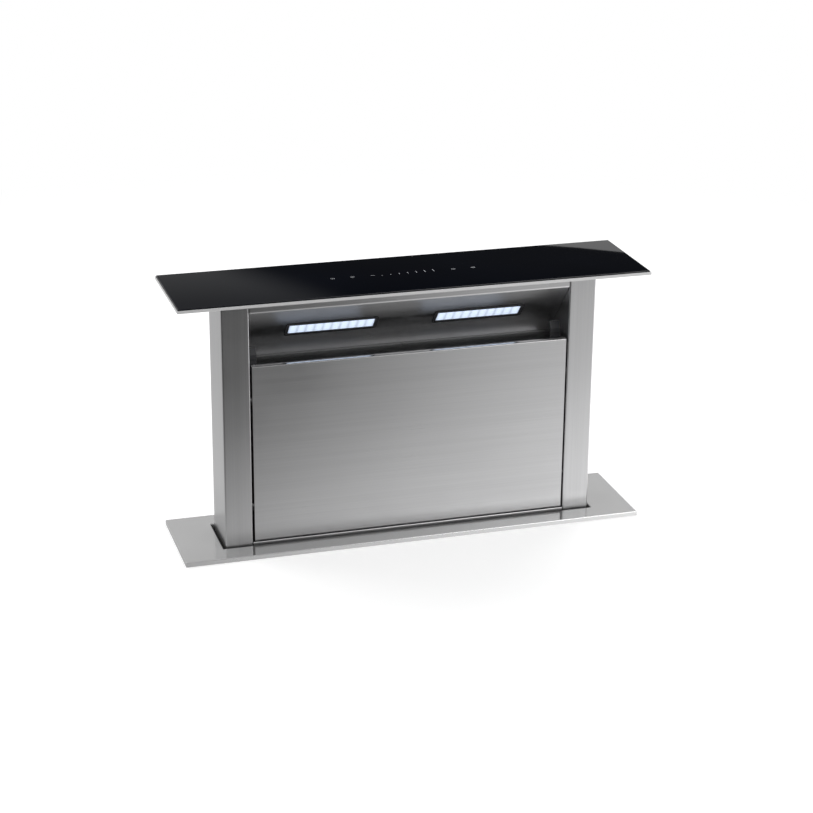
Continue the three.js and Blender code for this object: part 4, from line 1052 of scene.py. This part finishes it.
class VENT_OT_lift(bpy.types.Operator):
    """Make the gearmotor, cross shaft, pinions, racks, rails and shoes"""

    bl_idname = "vent.lift"
    bl_label = "Lift"
    bl_options = {"REGISTER", "UNDO"}

    def execute(self, context):
        dress("cross_shaft")
        for stem in ("pinion", "rack", "guide_rail", "upper_shoe", "lower_shoe", "shaft_bush"):
            dress_pair(stem)
        dress("gearbox", "lift_motor")
        return {"FINISHED"}


class VENT_OT_worktop_trim(bpy.types.Operator):
    """Make the trim frame, its seal and the worktop clamps"""

    bl_idname = "vent.worktop_trim"
    bl_label = "Worktop Trim"
    bl_options = {"REGISTER", "UNDO"}

    def execute(self, context):
        dress("trim_frame", "slot_seal", "front_clamp", "rear_clamp")
        return {"FINISHED"}


# ------------------------------------------------------------------ chassis and blower

# Places of the fixings and lesser details, in mm
SCREW_INSET = 10
SCREW_PITCH = 120
SCREW_ROWS = 6
RAIL_SCREWS = (-60, -180, -300, -420)
FOOT_BOLT_DROP = 35
CLAMP_SHEET = 2
CLAMP_SCREWS = (-120, 0, 120)
CLAMP_SCREW_RISE = 9
SCROLL_SHEET = 1.5
FLANGE_SCREW_RADIUS = 2.9
FLANGE_SCREW_INSET = 3.4
FLANGE_SCREW_STEP = 5
FLANGE_LEAST = 95
FLANGE_BAND = 0.1  # how near its face the flange's outline points lie
FLANGE_END = 1  # short of the scroll's mouth
CAP_PROFILE = (
    (0, -0.2),
    (17, -0.2),
    (17, 1.6),
    (15.8, 2.6),
    (9, 2.6),
    (8, 4.4),
    (4.2, 5),
    (0, 5),
)
CAP_STEPS = 40
CAP_SCREWS = (90, 210, 330)  # degrees round the cap
CAP_SCREW_CIRCLE = 12.6
CAP_SCREW_RISE = 2.5
CAP_SCREW_RADIUS = 2.1
LID_SCREW_INSET = 7
LID_SCREW_RADIUS = 3.0
LID_RIBS = 7
LID_RIB_MARGIN = 18
LID_RIB_START = 24
LID_RIB_PITCH = 7
LID_RIB_RISE = 1.2
LID_RIB_SINK = 0.1
LID_RIB_EDGE = 0.8


class VENT_OT_chassis(bpy.types.Operator):
    """Make the chassis shell, its cover, floor, feet and screws"""

    bl_idname = "vent.chassis"
    bl_label = "Chassis"
    bl_options = {"REGISTER", "UNDO"}

    def execute(self, context):
        dress("chassis_shell", "chassis_cover", "chassis_floor")
        dress_pair("foot")
        self.make_cover_screws()
        for side, name, clamp in ((1, "right", "rear"), (-1, "left", "front")):
            self.make_side_screws(side, name)
            self.make_clamp_screws(side, clamp)
        return {"FINISHED"}

    def make_cover_screws(self):
        edge = CHASSIS_HIGH[0] - SCREW_INSET * MM
        front = -CHASSIS_HIGH[1]
        foot = CHASSIS_LOW[2]
        rows = [foot + (SCREW_INSET + SCREW_PITCH * i) * MM for i in range(SCREW_ROWS)]
        places = [(side * edge, front, z) for side in (-1, 1) for z in rows]
        fixings("cover_screws", places, (0, -1, 0), sizes().screw_radius)

    def make_side_screws(self, side, name):
        """The rail's screws and the foot's bolt, on one side of the shell."""
        face = side * CHASSIS_HIGH[0]
        places = [(face, 0, z * MM) for z in RAIL_SCREWS]
        fixings(f"rail_screws_{name}", places, (side, 0, 0), sizes().screw_radius)
        place = (side * FOOT_HIGH[0], 0, FOOT_HIGH[2] - FOOT_BOLT_DROP * MM)
        fixings(f"foot_bolt_{name}", [place], (side, 0, 0), sizes().bolt_radius)

    def make_clamp_screws(self, side, name):
        leg = side * (CLAMP_LOW[1] + CLAMP_SHEET * MM)
        height = CLAMP_LOW[2] + CLAMP_SCREW_RISE * MM
        places = [(x * MM, leg, height) for x in CLAMP_SCREWS]
        fixings(f"{name}_clamp_screws", places, (0, side, 0), sizes().screw_radius)


class VENT_OT_blower(bpy.types.Operator):
    """Make the scroll, wheel, motor, outlet and flaps"""

    bl_idname = "vent.blower"
    bl_label = "Blower"
    bl_options = {"REGISTER", "UNDO"}

    def execute(self, context):
        dress("inlet_ring", "blower_scroll", "impeller", "fan_motor")
        dress("outlet_adapter", "outlet_spigot", "flap_pin", "front_flap", "rear_flap")
        self.make_flange_screws()
        self.make_motor_cap()
        return {"FINISHED"}

    def make_flange_screws(self):
        """Screws round the scroll's mounting flange, on every few points of its outline."""
        centre = (WHEEL_LOW + WHEEL_HIGH) / 2
        face = SCROLL_HIGH[1] - SCROLL_SHEET * MM
        outline = {}
        for vertex in frame["nodes"]["blower_scroll"].data.vertices:
            x, y, _ = vertex.co
            if y < face - FLANGE_BAND * MM or x > SCROLL_HIGH[0] - FLANGE_END * MM:
                continue
            spoke = vertex.co - centre
            spoke.y = 0
            turn = round(math.degrees(math.atan2(spoke.z, spoke.x)))
            if turn not in outline or spoke.length > outline[turn].length:
                outline[turn] = spoke
        turns = [turn for turn in sorted(outline) if outline[turn].length > FLANGE_LEAST * MM]
        places = []
        for turn in turns[::FLANGE_SCREW_STEP]:
            spoke = outline[turn]
            place = centre + spoke.normalized() * (spoke.length - FLANGE_SCREW_INSET * MM)
            place.y = face
            places.append(place)
        fixings("flange_screws", places, (0, -1, 0), FLANGE_SCREW_RADIUS * MM)

    def make_motor_cap(self):
        """The bearing cap on the motor's end, with its three screws."""
        centre = (MOTOR_LOW + MOTOR_HIGH) / 2
        centre.y = MOTOR_LOW[1]
        mesh = bmesh.new()
        profile = [(r * MM, h * MM) for r, h in CAP_PROFILE]
        turned(mesh, profile, centre, (0, -1, 0), CAP_STEPS)
        bmesh.ops.recalc_face_normals(mesh, faces=mesh.faces)
        piece("motor_bearing_cap", mesh, "chassis", "aluminium")
        places = []
        for turn in CAP_SCREWS:
            x, z = math.cos(math.radians(turn)), math.sin(math.radians(turn))
            spoke = Vector((CAP_SCREW_CIRCLE * x, -CAP_SCREW_RISE, CAP_SCREW_CIRCLE * z))
            places.append(centre + spoke * MM)
        fixings("motor_cap_screws", places, (0, -1, 0), CAP_SCREW_RADIUS * MM)


class VENT_OT_electronics(bpy.types.Operator):
    """Make the electronics box, its lid, board and cable gland"""

    bl_idname = "vent.electronics"
    bl_label = "Electronics"
    bl_options = {"REGISTER", "UNDO"}

    def execute(self, context):
        dress("electronics_box", "box_lid", "control_board", "cable_gland")
        self.make_lid_screws()
        self.make_lid_ribs()
        return {"FINISHED"}

    def make_lid_screws(self):
        inset = LID_SCREW_INSET * MM
        corners = [
            (x, LID_LOW[1], z)
            for x in (LID_LOW[0] + inset, LID_HIGH[0] - inset)
            for z in (LID_LOW[2] + inset, LID_HIGH[2] - inset)
        ]
        fixings("lid_screws", corners, (0, -1, 0), LID_SCREW_RADIUS * MM)

    def make_lid_ribs(self):
        """A raised field of ribs across the lid."""
        mesh = bmesh.new()
        rise = LID_RIB_RISE * MM
        left = LID_LOW[0] + LID_RIB_MARGIN * MM
        right = LID_HIGH[0] - LID_RIB_MARGIN * MM
        for i in range(LID_RIBS):
            z = LID_LOW[2] + (LID_RIB_START + LID_RIB_PITCH * i) * MM
            foot = LID_LOW[1] + LID_RIB_SINK * MM
            slab(mesh, (left, LID_LOW[1] - rise, z - rise), (right, foot, z + rise))
        break_edges(mesh, LID_RIB_EDGE * MM, 3)
        piece("lid_ribs", mesh, "chassis", "black_plastic")


# ------------------------------------------------------------------ stage

CAMERA_PLACE = (-0.7263, -2.4195, 1.1114)
CAMERA_LENS = 94.17
CAMERA_SENSOR = 36
CAMERA_PITCH = 20.70
CAMERA_YAW = -16.79
CAMERA_ROLL = 0.467

FLOOR_REACH = 6.0
CUTOUT_MARGIN = 4 * MM
FLOOR_GLOW = 0.33
FADE = (0.7, 1.8)  # the floor's shadow fades out over these distances
# What metal sees of the floor, from front to back and from left to right
FLOOR_DEPTH = (-1.0, 0.5)
FLOOR_TONES = ((0.03, 0.04), (0.25, 0.15), (0.45, 0.66), (0.6, 0.86), (0.8, 1.1))
FLOOR_SIDES = ((-0.4, 0.5), (-0.56, 0.56))
FLOOR_SHADE_Y = (-0.45, -0.75)  # it darkens again forwards and leftwards over these
FLOOR_SHADE_X = (0.3, -0.05)
FLOOR_SHADE_DEPTH = 0.35
FLOOR_LEAST = 0.03

CARD_REACH = 1.0
CARD_HEIGHTS = (0.02, 0.58)
CARD_STEPS = 32
CARD_LEVEL = 0.56

ROOM_LEVEL = 0.55
# What gloss sees of the room: a patch up at the left, dimmer higher still, and a pale front
PATCH_LEAN = 2.5
PATCH_EDGE = (-0.55, -0.51)
PATCH_LEVELS = (0.2, 0.02)
PATCH_TOP = (0.287, 0.308)
PATCH_FALL = (1.15, 0.5)
FRONT_SPAN = (0.85, 1.25)
FRONT_LEVELS = (0.0, 0.36)

# Name, place, target, size and power
LAMPS = (
    ("front_softbox", (1.4, -1.6, 1.9), (0, 0, 0.15), 1.6, 20),
    ("left_softbox", (-2.0, -0.8, 1.4), (0, 0, 0.15), 1.4, 6),
    ("rear_softbox", (1.3, 1.9, 2.2), (0, 0, 0.1), 1.8, 23),
    ("rear_left_softbox", (-1.5, 1.7, 1.9), (0, 0, 0.05), 1.6, 24),
)


class VENT_OT_stage(bpy.types.Operator):
    """Set up the camera, the pale worktop plane, the lamps and the surroundings"""

    bl_idname = "vent.stage"
    bl_label = "Stage"
    bl_options = {"REGISTER", "UNDO"}

    def execute(self, context):
        context.scene.view_settings.view_transform = "Standard"
        self.make_camera()
        self.make_floor()
        self.make_world()
        self.make_card()
        for lamp in LAMPS:
            self.make_lamp(*lamp)
        return {"FINISHED"}

    def make_camera(self):
        data = bpy.data.cameras.new("camera")
        data.lens = CAMERA_LENS
        data.sensor_width = CAMERA_SENSOR
        camera = link_object("camera", data)
        turn = (
            Matrix.Rotation(math.radians(CAMERA_YAW), 4, "Z")
            @ Matrix.Rotation(math.radians(90 - CAMERA_PITCH), 4, "X")
            @ Matrix.Rotation(math.radians(CAMERA_ROLL), 4, "Z")
        )
        camera.matrix_world = Matrix.Translation(CAMERA_PLACE) @ turn
        bpy.context.scene.camera = camera

    def make_floor(self):
        """A wide plane with the worktop's cut-out in it."""
        mesh = bmesh.new()
        cut_x = CHASSIS_HIGH[0] + CUTOUT_MARGIN
        cut_y = CHASSIS_HIGH[1] + CUTOUT_MARGIN
        edges = []
        for x, y in ((FLOOR_REACH, FLOOR_REACH), (cut_x, cut_y)):
            places = ((-x, -y, 0), (x, -y, 0), (x, y, 0), (-x, y, 0))
            corners = [mesh.verts.new(place) for place in places]
            edges += [mesh.edges.new((corners[i - 1], corners[i])) for i in range(4)]
        bmesh.ops.bridge_loops(mesh, edges=edges)
        bmesh.ops.recalc_face_normals(mesh, faces=mesh.faces)
        if next(iter(mesh.faces)).normal.z < 0:
            bmesh.ops.reverse_faces(mesh, faces=mesh.faces)
        data = mesh_data("worktop_plane", mesh, self.floor_material())
        link_object("worktop_plane", data)

    def floor_material(self):
        """White to the camera, with the object's shadow, and clear from below."""
        made, tree, shader, place = new_material("worktop_plane")
        feed(
            tree,
            shader,
            Base_Color=rgba(0.9),
            Roughness=0.6,
            Emission_Color=rgba(1.0),
            Emission_Strength=FLOOR_GLOW,
        )
        output = next(node for node in tree.nodes if node.type == "OUTPUT_MATERIAL")
        rays = add_node(tree, "ShaderNodeLightPath").outputs
        away = add_node(tree, "ShaderNodeVectorMath", {0: place}, operation="LENGTH")
        far = remap(tree, away.outputs["Value"], FADE, soft=True)
        plain = add_node(tree, "ShaderNodeEmission", {"Strength": 1.0}).outputs[0]
        seen = mix_shaders(tree, far, shader.outputs[0], plain)
        level = self.floor_level(tree, place)
        mirrored = add_node(tree, "ShaderNodeEmission", {"Strength": level}).outputs[0]
        shown = mix_shaders(tree, rays["Is Glossy Ray"], seen, mirrored)
        back = add_node(tree, "ShaderNodeNewGeometry").outputs["Backfacing"]
        clear = add_node(tree, "ShaderNodeBsdfTransparent").outputs[0]
        tree.links.new(mix_shaders(tree, back, shown, clear), output.inputs["Surface"])
        return made

    def floor_level(self, tree, place):
        """How bright the floor is to metal: darker forwards and to the left."""
        across, along, _ = add_node(tree, "ShaderNodeSeparateXYZ", {"Vector": place}).outputs
        colour = ramp(tree, remap(tree, along, FLOOR_DEPTH), FLOOR_TONES)
        tone = add_node(tree, "ShaderNodeRGBToBW", {"Color": colour}).outputs[0]
        side = remap(tree, across, *FLOOR_SIDES)
        reach = remap(tree, along, FLOOR_SHADE_Y)
        spread = remap(tree, across, FLOOR_SHADE_X)
        both = reckon(tree, "MULTIPLY", reach, spread)
        dark = reckon(tree, "MULTIPLY", both, FLOOR_SHADE_DEPTH)
        level = reckon(tree, "SUBTRACT", reckon(tree, "ADD", tone, side), dark)
        return reckon(tree, "MAXIMUM", level, FLOOR_LEAST)

    def make_card(self):
        """A low pale card bent round the back, seen by gloss alone: the trim mirrors it."""
        mesh = bmesh.new()
        ends = [mesh.verts.new((CARD_REACH, 0, height)) for height in CARD_HEIGHTS]
        bmesh.ops.spin(
            mesh,
            geom=[*ends, mesh.edges.new(ends)],
            cent=(0, 0, 0),
            axis=(0, 0, 1),
            angle=math.pi,
            steps=CARD_STEPS,
        )
        made, tree, shader, _ = new_material("rear_card")
        feed(
            tree,
            shader,
            Base_Color=rgba(0.0),
            Emission_Color=rgba(1.0),
            Emission_Strength=CARD_LEVEL,
        )
        card = link_object("rear_card", mesh_data("rear_card", mesh, made))
        for kind in ("camera", "diffuse", "transmission", "shadow"):
            setattr(card, f"visible_{kind}", False)

    def make_world(self):
        """White to the camera, even to matt surfaces, and dark but for two patches to gloss."""
        world = bpy.data.worlds.new("studio")
        bpy.context.scene.world = world
        world.use_nodes = True
        tree = world.node_tree
        tree.nodes.clear()
        rays = add_node(tree, "ShaderNodeLightPath").outputs
        level = self.gloss_level(tree)
        gloss, room, white = (
            add_node(tree, "ShaderNodeBackground", {"Color": rgba(1.0), "Strength": strength})
            for strength in (level, ROOM_LEVEL, 1.0)
        )
        seen = mix_shaders(tree, rays["Is Glossy Ray"], room.outputs[0], gloss.outputs[0])
        last = mix_shaders(tree, rays["Is Camera Ray"], seen, white.outputs[0])
        output = add_node(tree, "ShaderNodeOutputWorld")
        tree.links.new(last, output.inputs["Surface"])

    def gloss_level(self, tree):
        """How bright gloss sees the room in each direction."""
        direction = add_node(tree, "ShaderNodeTexCoord").outputs["Generated"]
        split = add_node(tree, "ShaderNodeSeparateXYZ", {"Vector": direction})
        across, along, up = split.outputs
        lean = reckon(tree, "SUBTRACT", across, reckon(tree, "MULTIPLY", up, PATCH_LEAN))
        patch = remap(tree, lean, PATCH_EDGE, PATCH_LEVELS, soft=True)
        patch = reckon(tree, "MULTIPLY", patch, remap(tree, up, PATCH_TOP, PATCH_FALL))
        ahead = reckon(tree, "SUBTRACT", up, along)
        return reckon(tree, "ADD", patch, remap(tree, ahead, FRONT_SPAN, FRONT_LEVELS))

    def make_lamp(self, name, place, target, size, power):
        data = bpy.data.lights.new(name, "AREA")
        data.size = size
        data.energy = power
        lamp = link_object(name, data)
        lamp.location = place
        aim = Vector(target) - Vector(place)
        lamp.rotation_euler = aim.to_track_quat("-Z", "Y").to_euler()


# ------------------------------------------------------------------ panel and registration

MAKERS = (
    VENT_OT_top_plate,
    VENT_OT_column,
    VENT_OT_front_panel,
    VENT_OT_lamp_canopy,
    VENT_OT_filters,
    VENT_OT_lift,
    VENT_OT_worktop_trim,
    VENT_OT_chassis,
    VENT_OT_blower,
    VENT_OT_electronics,
    VENT_OT_stage,
)


class VENT_PT_panel(bpy.types.Panel):
    """The vent's makers and settings"""

    bl_label = "Downdraft Vent"
    bl_idname = "VENT_PT_panel"
    bl_space_type = "VIEW_3D"
    bl_region_type = "UI"
    bl_category = "Vent"

    def draw(self, context):
        layout = self.layout
        for maker in MAKERS:
            layout.operator(maker.bl_idname)
        for settings in (context.scene.vent_sizes, context.scene.vent_colours):
            for name in settings.bl_rna.properties.keys():
                if name not in ("rna_type", "name"):
                    layout.prop(settings, name)


CLASSES = (VentSizes, VentColours, *MAKERS, VENT_PT_panel)


def register():
    for cls in CLASSES:
        bpy.utils.register_class(cls)
    bpy.types.Scene.vent_sizes = PointerProperty(type=VentSizes)
    bpy.types.Scene.vent_colours = PointerProperty(type=VentColours)


def unregister():
    del bpy.types.Scene.vent_colours
    del bpy.types.Scene.vent_sizes
    for cls in reversed(CLASSES):
        bpy.utils.unregister_class(cls)


def main():
    register()
    for maker in MAKERS:
        area, action = maker.bl_idname.split(".")
        getattr(getattr(bpy.ops, area), action)()


if __name__ == "__main__":
    main()
